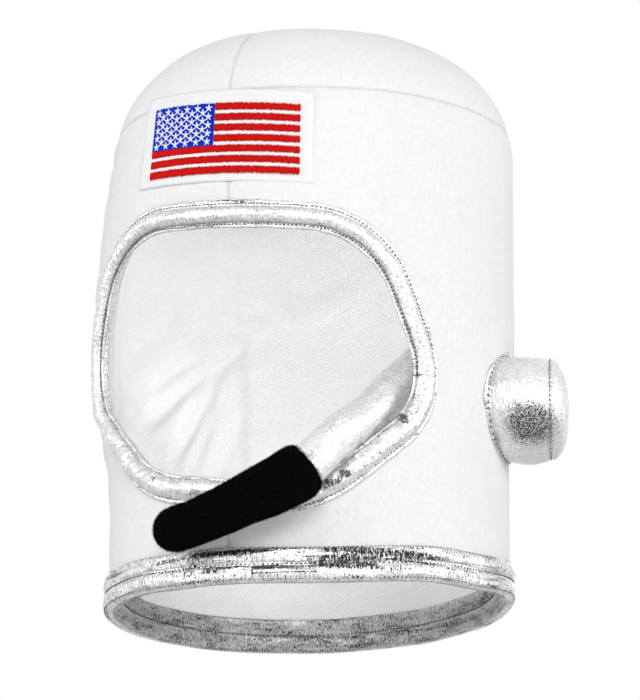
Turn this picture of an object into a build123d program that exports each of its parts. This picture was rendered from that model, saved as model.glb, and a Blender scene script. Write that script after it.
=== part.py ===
"""A soft plush astronaut helmet with silver trim, a stuffed microphone boom and a flag patch.

Millimetres. +Z is up, the face opening looks along -Y, and the wearer's left is +X.
The origin is on the helmet's upright axis, in the plane that the neck rim stands on.
"""

import math
import os

from build123d import *

# Shell: three sewn layers round one outline. Heights are shares of the helmet's height
shell_radius = 105.0
helmet_height = 300.0
shoulder_height_share = 0.81167
shoulder_radius_share = 0.18167
ring_seam_height_share = 0.84333
wall_foot_height = 3.0
plush_thickness = 2.0
foam_thickness = 5.8
lining_thickness = 0.6
layer_gap = 0.1
seam_gap = 0.3
cut_overrun = 12.0

# Face opening: a rounded hexagon, measured round the wall, that the trim's roll runs along.
# Its half widths are shares of the shell's radius
opening_top_half_width_share = 0.6752
opening_top_height_share = 0.6233
opening_side_half_width_share = 1.0838
opening_side_height_share = 0.3467
opening_foot_half_width_share = 0.4552
opening_foot_height_share = 0.1417
opening_top_corner_radius = 56.0
opening_side_corner_radius = 42.0
opening_foot_corner_radius = 61.0
opening_tilt = 5.0
bend_steps = 6

# Face trim: a stuffed silver roll with a flat flange outside it and a sewn lip inside
trim_roll_radius = 5.2
trim_sleeve_thickness = 0.7
trim_centre_inset = 0.5
trim_clearance = 0.2
trim_flange_width = 3.0
trim_flange_thickness = 0.7
trim_lip_width = 2.2
trim_lip_thickness = 1.2
trim_points = 72
trim_joint_turn_share = 0.965
trim_joint_gap = 0.4

# Neck band: two stuffed ridges outside the rim and two inside it
neck_ridge_height = 8.6
neck_ridge_bulge = 2.4
neck_fold_height = 4.2
neck_fold_tuck = 0.5
neck_cover_thickness = 0.8
neck_outer_joint_angle = 7.4
neck_inner_joint_angle = 182.0
neck_joint_gap = 0.4

# Ear knob, over the wearer's left ear: a stuffed drum with a domed cap on a crushed flange
ear_angle = 97.0
ear_height_share = 0.3333
ear_base_radius = 25.6
ear_band_radius = 28.3
ear_seam_radius = 26.2
ear_band_length = 24.5
ear_band_crown_share = 0.5
ear_cap_rise = 6.5
ear_cover_thickness = 0.9
ear_flange_width = 4.2
ear_flange_thickness = 1.0

# Microphone boom: a stuffed arm sewn inside the left cheek, with a fleece cover on its end
mic_radius = 15.0
boom_cover_thickness = 0.8
mic_cover_thickness = 1.5
boom_anchor_radius = 11.0
boom_anchor_thickness = 2.0
# each station: degrees from the front, share of the shell's radius, share of the opening's
# side height, and the arm's own radius as a share of the microphone's
boom_station_shares = (
    (83.6, 0.779, 1.290, 0.80),
    (68.9, 0.762, 1.143, 0.80),
    (54.1, 0.785, 0.982, 0.76),
    (41.3, 0.875, 0.837, 0.70),
    (30.2, 1.035, 0.692, 0.66),
    (21.8, 1.170, 0.502, 0.70),
    (14.5, 1.185, 0.388, 0.70),
)
# the cover's stations carry on from the sixth of those
mic_station_shares = (
    (21.8, 1.170, 0.502, 0.91),
    (14.5, 1.185, 0.388, 0.87),
    (6.4, 1.178, 0.318, 0.78),
    (-2.7, 1.165, 0.255, 0.73),
    (-12.9, 1.152, 0.215, 0.70),
)
end_dome_angles = (15.0, 30.0, 45.0, 60.0, 75.0)
boom_steps = 4

# Flag patch over the opening: backing cloth, white field, stripes, canton and stars
patch_width_share = 0.9667
patch_height = 48.7
patch_angle = -3.4
patch_height_share = 0.7663
patch_tilt = 5.5
patch_corner_radius = 1.5
patch_thickness = 1.0
flag_side_margin = 8.25
flag_foot_margin = 5.45
flag_shift_across = 1.6
flag_drop = 1.0
field_thickness = 0.4
stripe_thickness = 0.5
stripe_count = 13
canton_width_share = 0.4647
canton_stripe_count = 8
canton_thickness = 0.5
star_rows = 9
star_columns = 6
star_radius = 1.7
star_waist_share = 0.42
star_points = 5
star_thickness = 0.4


# Values worked out from those above

shoulder_height = helmet_height * shoulder_height_share
shoulder_radius = helmet_height * shoulder_radius_share
ring_seam_height = helmet_height * ring_seam_height_share
opening_top_half_width = shell_radius * opening_top_half_width_share
opening_top_height = helmet_height * opening_top_height_share
opening_side_half_width = shell_radius * opening_side_half_width_share
opening_side_height = helmet_height * opening_side_height_share
opening_foot_half_width = shell_radius * opening_foot_half_width_share
opening_foot_height = helmet_height * opening_foot_height_share
ear_height = helmet_height * ear_height_share
patch_width = shell_radius * patch_width_share
patch_centre_height = helmet_height * patch_height_share
flag_width = patch_width - flag_side_margin * 2
flag_height = patch_height - flag_foot_margin * 2
canton_width = flag_width * canton_width_share

# The shoulder arc runs into a flatter crown arc that is level on the axis
crown_rise = helmet_height - shoulder_radius
shoulder_centre_radius = shell_radius - shoulder_radius
crown_centre_height = (crown_rise**2 - shoulder_centre_radius**2 - shoulder_height**2) / (
    2 * (crown_rise - shoulder_height)
)
crown_radius = helmet_height - crown_centre_height
shoulder_turn = math.degrees(
    math.atan2(shoulder_height - crown_centre_height, shoulder_centre_radius)
)

foam_inset = plush_thickness + layer_gap
lining_inset = foam_inset + foam_thickness + layer_gap
wall_inset = lining_inset + lining_thickness
inner_radius = shell_radius - wall_inset
opening_centre_height = (opening_top_height + opening_foot_height) / 2
trim_centre_radius = shell_radius - trim_centre_inset
trim_seat = trim_roll_radius + trim_clearance
third_turn = 120.0


def polar(angle, radius, height):
    """A point at an angle from the front, turning towards the wearer's left."""
    turn = math.radians(angle)
    return Vector(radius * math.sin(turn), -radius * math.cos(turn), height)


def bend(point, radius):
    """A point of a flat pattern, laid round the wall at a radius."""
    return polar(math.degrees(point.X / shell_radius), radius, point.Y)


def between(before, start, end, after, share):
    """A smooth value between two of a row, from the ones beside them too."""
    slope = (end - before) * share
    bend_in = (before * 2 - start * 5 + end * 4 - after) * share**2
    bend_out = (start * 3 - before - end * 3 + after) * share**3
    return (start * 2 + slope + bend_in + bend_out) * 0.5


def smooth_row(values, steps):
    """A row of values with smooth steps put in between each two."""
    row = []
    last = len(values) - 1
    for index in range(last):
        before = values[max(index - 1, 0)]
        after = values[min(index + 2, last)]
        for step in range(steps):
            row.append(between(before, values[index], values[index + 1], after, step / steps))
    return row + [values[last]]


def directions_along(points):
    """The way that a row of points runs at each of them."""
    last = len(points) - 1
    return [
        (points[min(index + 1, last)] - points[max(index - 1, 0)]).normalized()
        for index in range(last + 1)
    ]


def round_face(centre, direction, radius):
    """A round section across a direction, drawn in thirds that start on the same side."""
    sideways = direction.cross(Vector(*centre).project_to_plane(Plane.XY).normalized())
    with BuildSketch(Plane(origin=centre, x_dir=sideways, z_dir=direction)) as section:
        with BuildLine():
            for start in (0, third_turn, third_turn * 2):
                CenterArc((0, 0), radius, start, third_turn)
        make_face()
    return section.sketch.faces()[0]


def hollow_loft(outer_faces, inner_faces, open_ends):
    """A cover through round sections, with a wall between an outer and an inner row of them."""
    cover_faces = []
    for faces in (outer_faces, inner_faces):
        solid = Solid.make_loft([face.outer_wire() for face in faces], ruled=True)
        cover_faces += [face for face in solid.faces() if face.geom_type != GeomType.PLANE]
    for end in (0, -1):
        if end in open_ends:
            cover_faces.append(Face(outer_faces[end].outer_wire(), [inner_faces[end].outer_wire()]))
        else:
            cover_faces += [outer_faces[end], inner_faces[end]]
    return Solid(Shell(cover_faces))


def layer_section(outer_inset, inner_inset, foot_height):
    """The section of one layer of the shell, between two depths below its outside."""
    rise_turn = 90.0 - shoulder_turn
    with BuildSketch(Plane.XZ) as section:
        with BuildLine():
            for inset in (outer_inset, inner_inset):
                wall = shell_radius - inset
                Line((wall, foot_height), (wall, shoulder_height))
                CenterArc(
                    (shoulder_centre_radius, shoulder_height),
                    shoulder_radius - inset,
                    0,
                    shoulder_turn,
                )
                CenterArc((0, crown_centre_height), crown_radius - inset, shoulder_turn, rise_turn)
            Line((0, helmet_height - outer_inset), (0, helmet_height - inner_inset))
            Line((shell_radius - outer_inset, foot_height), (shell_radius - inner_inset, foot_height))
        make_face()
    return section.sketch


def bent_block(flat_face, low_radius, high_radius):
    """A flat pattern laid round the wall and given depth straight towards the axis."""
    inner_edges = []
    outer_edges = []
    for edge in flat_face.outer_wire().order_edges():
        points = [edge @ (step / bend_steps) for step in range(bend_steps + 1)]
        inner_edges.append(Edge.make_spline([bend(point, low_radius) for point in points]))
        outer_edges.append(Edge.make_spline([bend(point, high_radius) for point in points]))
    side_faces = [
        Face.make_surface_from_curves(inner, outer)
        for inner, outer in zip(inner_edges, outer_edges)
    ]
    end_faces = [Face.make_surface(Wire(inner_edges)), Face.make_surface(Wire(outer_edges))]
    block = Solid(Shell(side_faces + end_faces))
    return block if block.volume > 0 else Solid(block.wrapped.Reversed())


def opening_face(margin):
    """The opening's flat pattern, grown by a margin all round."""
    with BuildSketch(Plane.XY) as pattern:
        with BuildLine(Plane((0, opening_centre_height, 0)).rotated((0, 0, -opening_tilt))):
            right_side = [
                (opening_top_half_width, opening_top_height - opening_centre_height),
                (opening_side_half_width, opening_side_height - opening_centre_height),
                (opening_foot_half_width, opening_foot_height - opening_centre_height),
            ]
            left_side = [(-across, up) for across, up in reversed(right_side)]
            FilletPolyline(
                *right_side,
                *left_side,
                radius=[
                    opening_top_corner_radius,
                    opening_side_corner_radius,
                    opening_foot_corner_radius,
                    opening_foot_corner_radius,
                    opening_side_corner_radius,
                    opening_top_corner_radius,
                ],
                close=True,
            )
        make_face()
        if margin:
            offset(amount=margin)
    return pattern.sketch.faces()[0]


cut_low_radius = shell_radius - wall_inset - cut_overrun
cut_high_radius = shell_radius + cut_overrun
opening_cut = bent_block(opening_face(trim_seat), cut_low_radius, cut_high_radius)


# Sewn shell: each layer is two wall halves and two crown halves

layers = {
    "plush": (0.0, plush_thickness),
    "foam": (foam_inset, foam_inset + foam_thickness),
    "lining": (lining_inset, wall_inset),
}
sides = {"left": Keep.TOP, "right": Keep.BOTTOM}
side_signs = {"left": 1, "right": -1}
bands = {"wall": Keep.BOTTOM, "crown": Keep.TOP}
band_signs = {"wall": -1, "crown": 1}

os.makedirs("parts", exist_ok=True)

for layer, (outer_inset, inner_inset) in layers.items():
    layer_face = layer_section(outer_inset, inner_inset, wall_foot_height)
    for band in bands:
        for side in sides:
            side_plane = Plane.YZ.offset(side_signs[side] * seam_gap / 2)
            band_plane = Plane.XY.offset(ring_seam_height + band_signs[band] * seam_gap / 2)
            with BuildPart() as panel:
                revolve(layer_face, axis=Axis.Z)
                split(bisect_by=side_plane, keep=sides[side])
                split(bisect_by=band_plane, keep=bands[band])
                if band == "wall":
                    add(opening_cut, mode=Mode.SUBTRACT)
            panel.part.label = f"{band}_{layer}_{side}"
            export_step(panel.part, f"parts/{band}_{layer}_{side}.step")


# Face trim

roll_wire = opening_face(0).outer_wire()
joint_share = trim_joint_gap / roll_wire.length
roll_points = []
for step in range(trim_points):
    turn_share = trim_joint_turn_share + joint_share / 2
    turn_share += (1 - joint_share) * step / (trim_points - 1)
    roll_points.append(bend(roll_wire @ (turn_share % 1.0), trim_centre_radius))

roll_directions = directions_along(roll_points)


def roll_sections(radius):
    """Round sections of the roll, all the way round the opening."""
    return [
        round_face(point, direction, radius)
        for point, direction in zip(roll_points, roll_directions)
    ]


with BuildPart() as face_trim_sleeve:
    add(
        hollow_loft(
            roll_sections(trim_roll_radius),
            roll_sections(trim_roll_radius - trim_sleeve_thickness),
            open_ends=(0, -1),
        )
    )
face_trim_sleeve.part.label = "face_trim_sleeve"
export_step(face_trim_sleeve.part, "parts/face_trim_sleeve.step")

with BuildPart() as face_trim_filler:
    loft(roll_sections(trim_roll_radius - trim_sleeve_thickness - layer_gap), ruled=True)
face_trim_filler.part.label = "face_trim_filler"
export_step(face_trim_filler.part, "parts/face_trim_filler.step")

flange_outer_cut = bent_block(
    opening_face(trim_seat + trim_flange_width), cut_low_radius, cut_high_radius
)
flange_section = layer_section(-layer_gap - trim_flange_thickness, -layer_gap, wall_foot_height)
with BuildPart() as face_trim_flange:
    revolve(flange_section, axis=Axis.Z)
    add(flange_outer_cut, mode=Mode.INTERSECT)
    add(opening_cut, mode=Mode.SUBTRACT)
face_trim_flange.part.label = "face_trim_flange"
export_step(face_trim_flange.part, "parts/face_trim_flange.step")

lip_outer_cut = bent_block(opening_face(-trim_seat), cut_low_radius, cut_high_radius)
lip_inner_cut = bent_block(
    opening_face(-trim_seat - trim_lip_width), cut_low_radius, cut_high_radius
)
lip_section = layer_section(
    trim_centre_inset - trim_lip_thickness / 2,
    trim_centre_inset + trim_lip_thickness / 2,
    wall_foot_height,
)
with BuildPart() as face_trim_lip:
    revolve(lip_section, axis=Axis.Z)
    add(lip_outer_cut, mode=Mode.INTERSECT)
    add(lip_inner_cut, mode=Mode.SUBTRACT)
face_trim_lip.part.label = "face_trim_lip"
export_step(face_trim_lip.part, "parts/face_trim_lip.step")


# Neck band

neck_middle_radius = shell_radius - wall_inset / 2


def neck_ridge_section(outward, lower):
    """One ridge's section: a bulge that is drawn in at the stitch lines above and below it."""
    wall_radius = shell_radius + layer_gap if outward > 0 else inner_radius - layer_gap
    crest_radius = wall_radius + outward * neck_ridge_bulge
    with BuildSketch(Plane.XZ) as section:
        with BuildLine():
            if lower:
                crease = neck_ridge_height - layer_gap / 2
                roof = wall_foot_height - layer_gap
                fold_radius = wall_radius - outward * neck_fold_tuck
                split_radius = neck_middle_radius + outward * layer_gap / 2
                ThreePointArc((wall_radius, crease), (crest_radius, neck_fold_height), (fold_radius, 0))
                Polyline(
                    (fold_radius, 0),
                    (split_radius, 0),
                    (split_radius, roof),
                    (wall_radius, roof),
                    (wall_radius, crease),
                )
            else:
                crease = neck_ridge_height + layer_gap / 2
                top = crease + neck_ridge_height
                middle = (crease + top) / 2
                ThreePointArc((wall_radius, crease), (crest_radius, middle), (wall_radius, top))
                Line((wall_radius, top), (wall_radius, crease))
        make_face()
    return section.sketch


neck_joint_angles = {"outer": neck_outer_joint_angle, "inner": neck_inner_joint_angle}
neck_outward = {"outer": 1, "inner": -1}

for face_name, outward in neck_outward.items():
    for level in ("upper", "lower"):
        ridge_face = neck_ridge_section(outward, level == "lower")
        with BuildSketch(Plane.XZ) as hollow:
            add(ridge_face)
            offset(amount=-neck_cover_thickness)
        with BuildSketch(Plane.XZ) as wadding_section:
            add(ridge_face)
            offset(amount=-neck_cover_thickness - layer_gap)
        with BuildPart() as cover:
            revolve(ridge_face, axis=Axis.Z)
            revolve(hollow.sketch, axis=Axis.Z, mode=Mode.SUBTRACT)
            if level == "lower":
                joint_angle = neck_joint_angles[face_name]
                joint_place = Location(polar(joint_angle, neck_middle_radius, 0), (0, 0, joint_angle))
                with Locations(joint_place):
                    Box(neck_joint_gap, cut_overrun * 2, neck_ridge_height * 4, mode=Mode.SUBTRACT)
        cover.part.label = f"neck_{face_name}_{level}_cover"
        export_step(cover.part, f"parts/neck_{face_name}_{level}_cover.step")
        with BuildPart() as wadding:
            revolve(wadding_section.sketch, axis=Axis.Z)
        wadding.part.label = f"neck_{face_name}_{level}_wadding"
        export_step(wadding.part, f"parts/neck_{face_name}_{level}_wadding.step")


# Ear knob

ear_root_depth = shell_radius - math.sqrt(shell_radius**2 - ear_band_radius**2) + ear_flange_thickness


def ear_section(ear_plane, inset):
    """The knob's half section: a barrel band, drawn in at the seam, and a domed cap."""
    rim = ear_seam_radius - inset
    rise = ear_cap_rise - inset
    tip = ear_band_length + rise
    dome_radius = (rim**2 + rise**2) / (2 * rise)
    dome_turn = math.degrees(math.asin(rim / dome_radius))
    crest = ear_band_length * ear_band_crown_share
    with BuildSketch(ear_plane) as section:
        with BuildLine():
            Line((0, -ear_root_depth + inset), (ear_base_radius - inset, -ear_root_depth + inset))
            ThreePointArc(
                (ear_base_radius - inset, -ear_root_depth + inset),
                (ear_band_radius - inset, crest),
                (rim, ear_band_length),
            )
            CenterArc((0, tip - dome_radius), dome_radius, 90.0 - dome_turn, dome_turn)
            Line((0, tip), (0, -ear_root_depth + inset))
        make_face()
    return section.sketch


with BuildPart() as wall_core:
    Cylinder(
        shell_radius + layer_gap,
        helmet_height,
        align=(Align.CENTER, Align.CENTER, Align.MIN),
    )

outwards = polar(ear_angle, 1, 0)
ear_seat = polar(ear_angle, shell_radius, ear_height)
section_plane = Plane(origin=ear_seat, x_dir=(0, 0, 1), z_dir=Vector(0, 0, 1).cross(outwards))
ear_axis = Axis(ear_seat, outwards)
seam_plane = Plane(origin=ear_seat + outwards * ear_band_length, z_dir=outwards)
outside_face = ear_section(section_plane, 0)
hollow_face = ear_section(section_plane, ear_cover_thickness)
stuffing_face = ear_section(section_plane, ear_cover_thickness + layer_gap)

with BuildPart() as ear_band:
    revolve(outside_face, axis=ear_axis)
    revolve(hollow_face, axis=ear_axis, mode=Mode.SUBTRACT)
    split(bisect_by=seam_plane.offset(-layer_gap / 2), keep=Keep.BOTTOM)
    add(wall_core.part, mode=Mode.SUBTRACT)
ear_band.part.label = "ear_band"
export_step(ear_band.part, "parts/ear_band.step")

with BuildPart() as ear_cap:
    revolve(outside_face, axis=ear_axis)
    revolve(hollow_face, axis=ear_axis, mode=Mode.SUBTRACT)
    split(bisect_by=seam_plane.offset(layer_gap / 2), keep=Keep.TOP)
ear_cap.part.label = "ear_cap"
export_step(ear_cap.part, "parts/ear_cap.step")

with BuildPart() as ear_stuffing:
    revolve(stuffing_face, axis=ear_axis)
    add(wall_core.part, mode=Mode.SUBTRACT)
ear_stuffing.part.label = "ear_stuffing"
export_step(ear_stuffing.part, "parts/ear_stuffing.step")

flange_plane = Plane(origin=ear_seat, z_dir=outwards)
with BuildPart() as ear_flange:
    with BuildSketch(flange_plane.offset(-ear_root_depth)):
        Circle(ear_band_radius + ear_flange_width)
        Circle(ear_band_radius + layer_gap, mode=Mode.SUBTRACT)
    extrude(amount=ear_root_depth * 2)
    add(wall_core.part, mode=Mode.SUBTRACT)
    with BuildSketch(Plane.XY):
        Circle(shell_radius + layer_gap + ear_flange_thickness)
    extrude(amount=helmet_height, mode=Mode.INTERSECT)
ear_flange.part.label = "ear_flange"
export_step(ear_flange.part, "parts/ear_flange.step")


# Microphone boom


def boom_sections(station_shares, inset, domes):
    """Round sections along an arm's stations, with a dome worked out past each named end."""
    centres = []
    radii = []
    for angle, radius_share, height_share, girth_share in station_shares:
        centres.append(
            polar(angle, shell_radius * radius_share, opening_side_height * height_share)
        )
        radii.append(mic_radius * girth_share - inset)
    centres = smooth_row(centres, boom_steps)
    radii = smooth_row(radii, boom_steps)
    stations = list(zip(centres, directions_along(centres), radii))
    if "start" in domes:
        centre, direction, radius = stations[0]
        for dome_angle in end_dome_angles:
            turn = math.radians(dome_angle)
            back = centre - direction * radius * math.sin(turn)
            stations.insert(0, (back, direction, radius * math.cos(turn)))
    if "end" in domes:
        centre, direction, radius = stations[-1]
        for dome_angle in end_dome_angles:
            turn = math.radians(dome_angle)
            front = centre + direction * radius * math.sin(turn)
            stations.append((front, direction, radius * math.cos(turn)))
    return [round_face(centre, direction, radius) for centre, direction, radius in stations]


with BuildPart() as boom_sleeve:
    add(
        hollow_loft(
            boom_sections(boom_station_shares, 0, ("start",)),
            boom_sections(boom_station_shares, boom_cover_thickness, ("start",)),
            open_ends=(-1,),
        )
    )
boom_sleeve.part.label = "boom_sleeve"
export_step(boom_sleeve.part, "parts/boom_sleeve.step")

with BuildPart() as boom_stuffing:
    loft(
        boom_sections(boom_station_shares, boom_cover_thickness + layer_gap, ("start",)),
        ruled=True,
    )
boom_stuffing.part.label = "boom_stuffing"
export_step(boom_stuffing.part, "parts/boom_stuffing.step")

with BuildPart() as mic_cover:
    add(
        hollow_loft(
            boom_sections(mic_station_shares, 0, ("end",)),
            boom_sections(mic_station_shares, mic_cover_thickness, ("end",)),
            open_ends=(0,),
        )
    )
mic_cover.part.label = "mic_cover"
export_step(mic_cover.part, "parts/mic_cover.step")

boom_end = boom_sections(boom_station_shares, 0, ())[-1]
boom_end_plane = Plane(origin=boom_end.center(), z_dir=boom_end.normal_at())
with BuildPart() as mic_stuffing:
    loft(
        boom_sections(mic_station_shares, mic_cover_thickness + layer_gap, ("end",)),
        ruled=True,
    )
    split(bisect_by=boom_end_plane.offset(layer_gap), keep=Keep.TOP)
mic_stuffing.part.label = "mic_stuffing"
export_step(mic_stuffing.part, "parts/mic_stuffing.step")

root_angle = boom_station_shares[0][0]
root_height = opening_side_height * boom_station_shares[0][2]
anchor_outside = inner_radius - layer_gap
with BuildPart() as boom_anchor:
    with BuildSketch(Plane(origin=(0, 0, root_height), z_dir=polar(root_angle, 1, 0))):
        Circle(boom_anchor_radius)
    extrude(amount=shell_radius)
    with BuildSketch(Plane.XY):
        Circle(anchor_outside)
    extrude(amount=helmet_height, mode=Mode.INTERSECT)
    with BuildSketch(Plane.XY):
        Circle(anchor_outside - boom_anchor_thickness)
    extrude(amount=helmet_height, mode=Mode.SUBTRACT)
boom_anchor.part.label = "boom_anchor"
export_step(boom_anchor.part, "parts/boom_anchor.step")


# Flag patch

patch_centre_across = math.radians(patch_angle) * shell_radius
patch_plane = Plane((patch_centre_across, patch_centre_height, 0)).rotated((0, 0, -patch_tilt))
stripe_height = flag_height / stripe_count
canton_height = stripe_height * canton_stripe_count - seam_gap


def patch_rectangle(width, height, across, up, corner_radius):
    """A rectangle of the patch's flat pattern, placed from the patch's middle."""
    with BuildSketch(Plane.XY) as pattern:
        with Locations(patch_plane.location * Location((across, up, 0))):
            if corner_radius:
                RectangleRounded(width, height, corner_radius)
            else:
                Rectangle(width, height)
    return pattern.sketch.faces()[0]


def patch_layer(faces, depth_below, thickness):
    """Pieces of cloth or thread, cut to flat patterns, that lie on the shell."""
    section = layer_section(-depth_below - thickness, -depth_below, wall_foot_height)
    blocks = [bent_block(face, cut_low_radius, cut_high_radius) for face in faces]
    with BuildPart() as layer_part:
        add(blocks)
        revolve(section, axis=Axis.Z, mode=Mode.INTERSECT)
    return layer_part.part


backing_level = layer_gap
field_level = backing_level + patch_thickness + layer_gap
stripe_level = field_level + field_thickness + layer_gap
star_level = stripe_level + canton_thickness + layer_gap

backing_face = patch_rectangle(patch_width, patch_height, 0, 0, patch_corner_radius)
field_face = patch_rectangle(flag_width, flag_height, flag_shift_across, -flag_drop, 0)
canton_across = flag_shift_across - (flag_width - canton_width) / 2
canton_up = (flag_height - canton_height) / 2 - flag_drop
canton_face = patch_rectangle(canton_width, canton_height, canton_across, canton_up, 0)

stripe_faces = []
for stripe in range(0, stripe_count, 2):
    stripe_up = (flag_height - stripe_height) / 2 - stripe * stripe_height - flag_drop
    beside_canton = stripe < canton_stripe_count
    stripe_width = flag_width - canton_width - seam_gap if beside_canton else flag_width
    stripe_across = flag_shift_across + (flag_width - stripe_width) / 2
    stripe_faces.append(patch_rectangle(stripe_width, stripe_height, stripe_across, stripe_up, 0))

patch_pieces = {
    "patch_backing": patch_layer([backing_face], backing_level, patch_thickness),
    "patch_field": patch_layer([field_face], field_level, field_thickness),
    "patch_stripes": patch_layer(stripe_faces, stripe_level, stripe_thickness),
    "patch_canton": patch_layer([canton_face], stripe_level, canton_thickness),
}
for piece_name, piece in patch_pieces.items():
    piece.label = piece_name
    export_step(piece, f"parts/{piece_name}.step")

row_pitch = canton_height / (star_rows + 1)
column_pitch = canton_width / (star_columns * 2)
star_planes = []
for row in range(star_rows):
    indent = row % 2
    for column in range(star_columns - indent):
        across = canton_across - canton_width / 2 + column_pitch * (1 + indent + 2 * column)
        up = canton_up + canton_height / 2 - row_pitch * (row + 1)
        flat_place = (patch_plane.location * Location((across, up, 0))).position
        sunk = max(0, flat_place.Y - shoulder_height)
        drop = shoulder_radius - math.sqrt(shoulder_radius**2 - sunk**2)
        star_seat = bend(flat_place, shell_radius + star_level - drop)
        lean = math.degrees(math.asin(sunk / shoulder_radius))
        level_out = polar(math.degrees(flat_place.X / shell_radius), 1, 0)
        lean_out = level_out * math.cos(math.radians(lean)) + Vector(
            0, 0, math.sin(math.radians(lean))
        )
        level_across = Vector(0, 0, 1).cross(level_out)
        star_planes.append(Plane(origin=star_seat, x_dir=level_across, z_dir=lean_out))

with BuildPart() as patch_stars:
    for star_plane in star_planes:
        with BuildSketch(star_plane):
            with BuildLine():
                corners = []
                for corner in range(star_points * 2):
                    reach = star_radius if corner % 2 == 0 else star_radius * star_waist_share
                    turn = math.radians(90.0 - patch_tilt) + math.pi * corner / star_points
                    corners.append((reach * math.cos(turn), reach * math.sin(turn)))
                Polyline(*corners, close=True)
            make_face()
    extrude(amount=star_thickness)
patch_stars.part.label = "patch_stars"
export_step(patch_stars.part, "parts/patch_stars.step")
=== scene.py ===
import math

import bmesh
import bpy
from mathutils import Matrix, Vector, noise
from mathutils.kdtree import KDTree


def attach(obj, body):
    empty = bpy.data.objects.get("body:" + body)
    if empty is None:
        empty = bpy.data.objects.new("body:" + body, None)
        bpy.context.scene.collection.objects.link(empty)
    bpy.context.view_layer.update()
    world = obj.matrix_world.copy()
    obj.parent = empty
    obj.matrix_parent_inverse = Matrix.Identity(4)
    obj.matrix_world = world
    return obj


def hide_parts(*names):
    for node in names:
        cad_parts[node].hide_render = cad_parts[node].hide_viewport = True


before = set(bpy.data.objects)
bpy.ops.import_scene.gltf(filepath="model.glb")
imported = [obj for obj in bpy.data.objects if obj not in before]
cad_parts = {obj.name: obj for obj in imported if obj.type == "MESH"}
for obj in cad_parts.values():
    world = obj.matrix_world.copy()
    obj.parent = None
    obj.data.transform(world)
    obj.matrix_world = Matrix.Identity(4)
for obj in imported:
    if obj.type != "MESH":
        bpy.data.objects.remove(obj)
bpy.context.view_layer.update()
mm = 0.001
fullTurn = math.tau
print("frame loaded")


# Node helpers, for shaders and for Geometry Nodes

def addNode(tree, kind, inputs=None, **settings):
    node = tree.nodes.new(kind)
    for key, value in settings.items():
        setattr(node, key, value)
    for key, value in (inputs or {}).items():
        node.inputs[key].default_value = value
    return node


def joinNodes(tree, *pairs):
    for start, end in pairs:
        tree.links.new(start, end)


# Gives a socket a plain value, or joins another node's output to it
def feed(tree, socket, value):
    if isinstance(value, bpy.types.NodeSocket):
        joinNodes(tree, (value, socket))
    else:
        socket.default_value = value


def socketOf(sockets, kind, name=None):
    return next(socket for socket in sockets if socket.type == kind and name in (None, socket.name))


def newFinish(name, roughness, **sockets):
    material = bpy.data.materials.new(name)
    material.use_nodes = True
    tree = material.node_tree
    shader = next(node for node in tree.nodes if node.type == "BSDF_PRINCIPLED")
    shader.inputs["Roughness"].default_value = roughness
    for key, value in sockets.items():
        shader.inputs[key.replace("_", " ")].default_value = value
    return material, tree, shader


def placeOn(tree, laidBy="Object"):
    return addNode(tree, "ShaderNodeTexCoord").outputs[laidBy]


# A texture, read at places that are first stretched, turned or moved
def textureOn(tree, place, mapping, kind, inputs=None, **settings):
    spread = addNode(tree, "ShaderNodeMapping", mapping)
    texture = addNode(tree, kind, inputs, **settings)
    joinNodes(tree, (place, spread.inputs["Vector"]), (spread.outputs["Vector"], texture.inputs["Vector"]))
    return texture.outputs["Fac"]


def noiseOn(tree, place, stretch, detail=3.0, roughness=0.55, distortion=0.0):
    inputs = {"Scale": 1.0, "Detail": detail, "Roughness": roughness, "Distortion": distortion}
    return textureOn(tree, place, {"Scale": stretch}, "ShaderNodeTexNoise", inputs)


def waveOn(tree, place, turn, scale, distortion):
    inputs = {"Scale": scale, "Distortion": distortion, "Detail": 1.0}
    return textureOn(tree, place, {"Rotation": (0, 0, turn)}, "ShaderNodeTexWave", inputs)


def rangeOf(tree, value, low, high, toLow=0.0, toHigh=1.0):
    limits = {"From Min": low, "From Max": high, "To Min": toLow, "To Max": toHigh}
    step = addNode(tree, "ShaderNodeMapRange", limits)
    joinNodes(tree, (value, step.inputs["Value"]))
    return step.outputs["Result"]


def mathOf(tree, operation, first, second):
    node = addNode(tree, "ShaderNodeMath", operation=operation)
    feed(tree, node.inputs[0], first)
    feed(tree, node.inputs[1], second)
    return node.outputs[0]


def blendColours(tree, share, first, second):
    node = addNode(tree, "ShaderNodeMix", data_type="RGBA")
    joinNodes(tree, (share, node.inputs["Factor"]))
    for name, value in (("A", first), ("B", second)):
        value = (*value, 1.0) if isinstance(value, tuple) else value
        feed(tree, socketOf(node.inputs, "RGBA", name), value)
    return socketOf(node.outputs, "RGBA")


def bumpOf(tree, height, distance, strength=1.0, under=None):
    node = addNode(tree, "ShaderNodeBump", {"Strength": strength, "Distance": distance})
    joinNodes(tree, (height, node.inputs["Height"]))
    if under is not None:
        joinNodes(tree, (under, node.inputs["Normal"]))
    return node.outputs["Normal"]


def paintWith(tree, shader, colour, normal):
    joinNodes(tree, (colour, shader.inputs["Base Color"]), (normal, shader.inputs["Normal"]))


# Mesh helpers

def linkPiece(name, data):
    piece = bpy.data.objects.new(name, data)
    bpy.context.scene.collection.objects.link(piece)
    return piece


# Puts a piece on its body and hides the solids that it stands for
def fitPiece(piece, body, slotName, *nodes):
    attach(piece, body)
    if nodes:
        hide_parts(*nodes)


weldGap = 0.01 * mm


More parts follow.
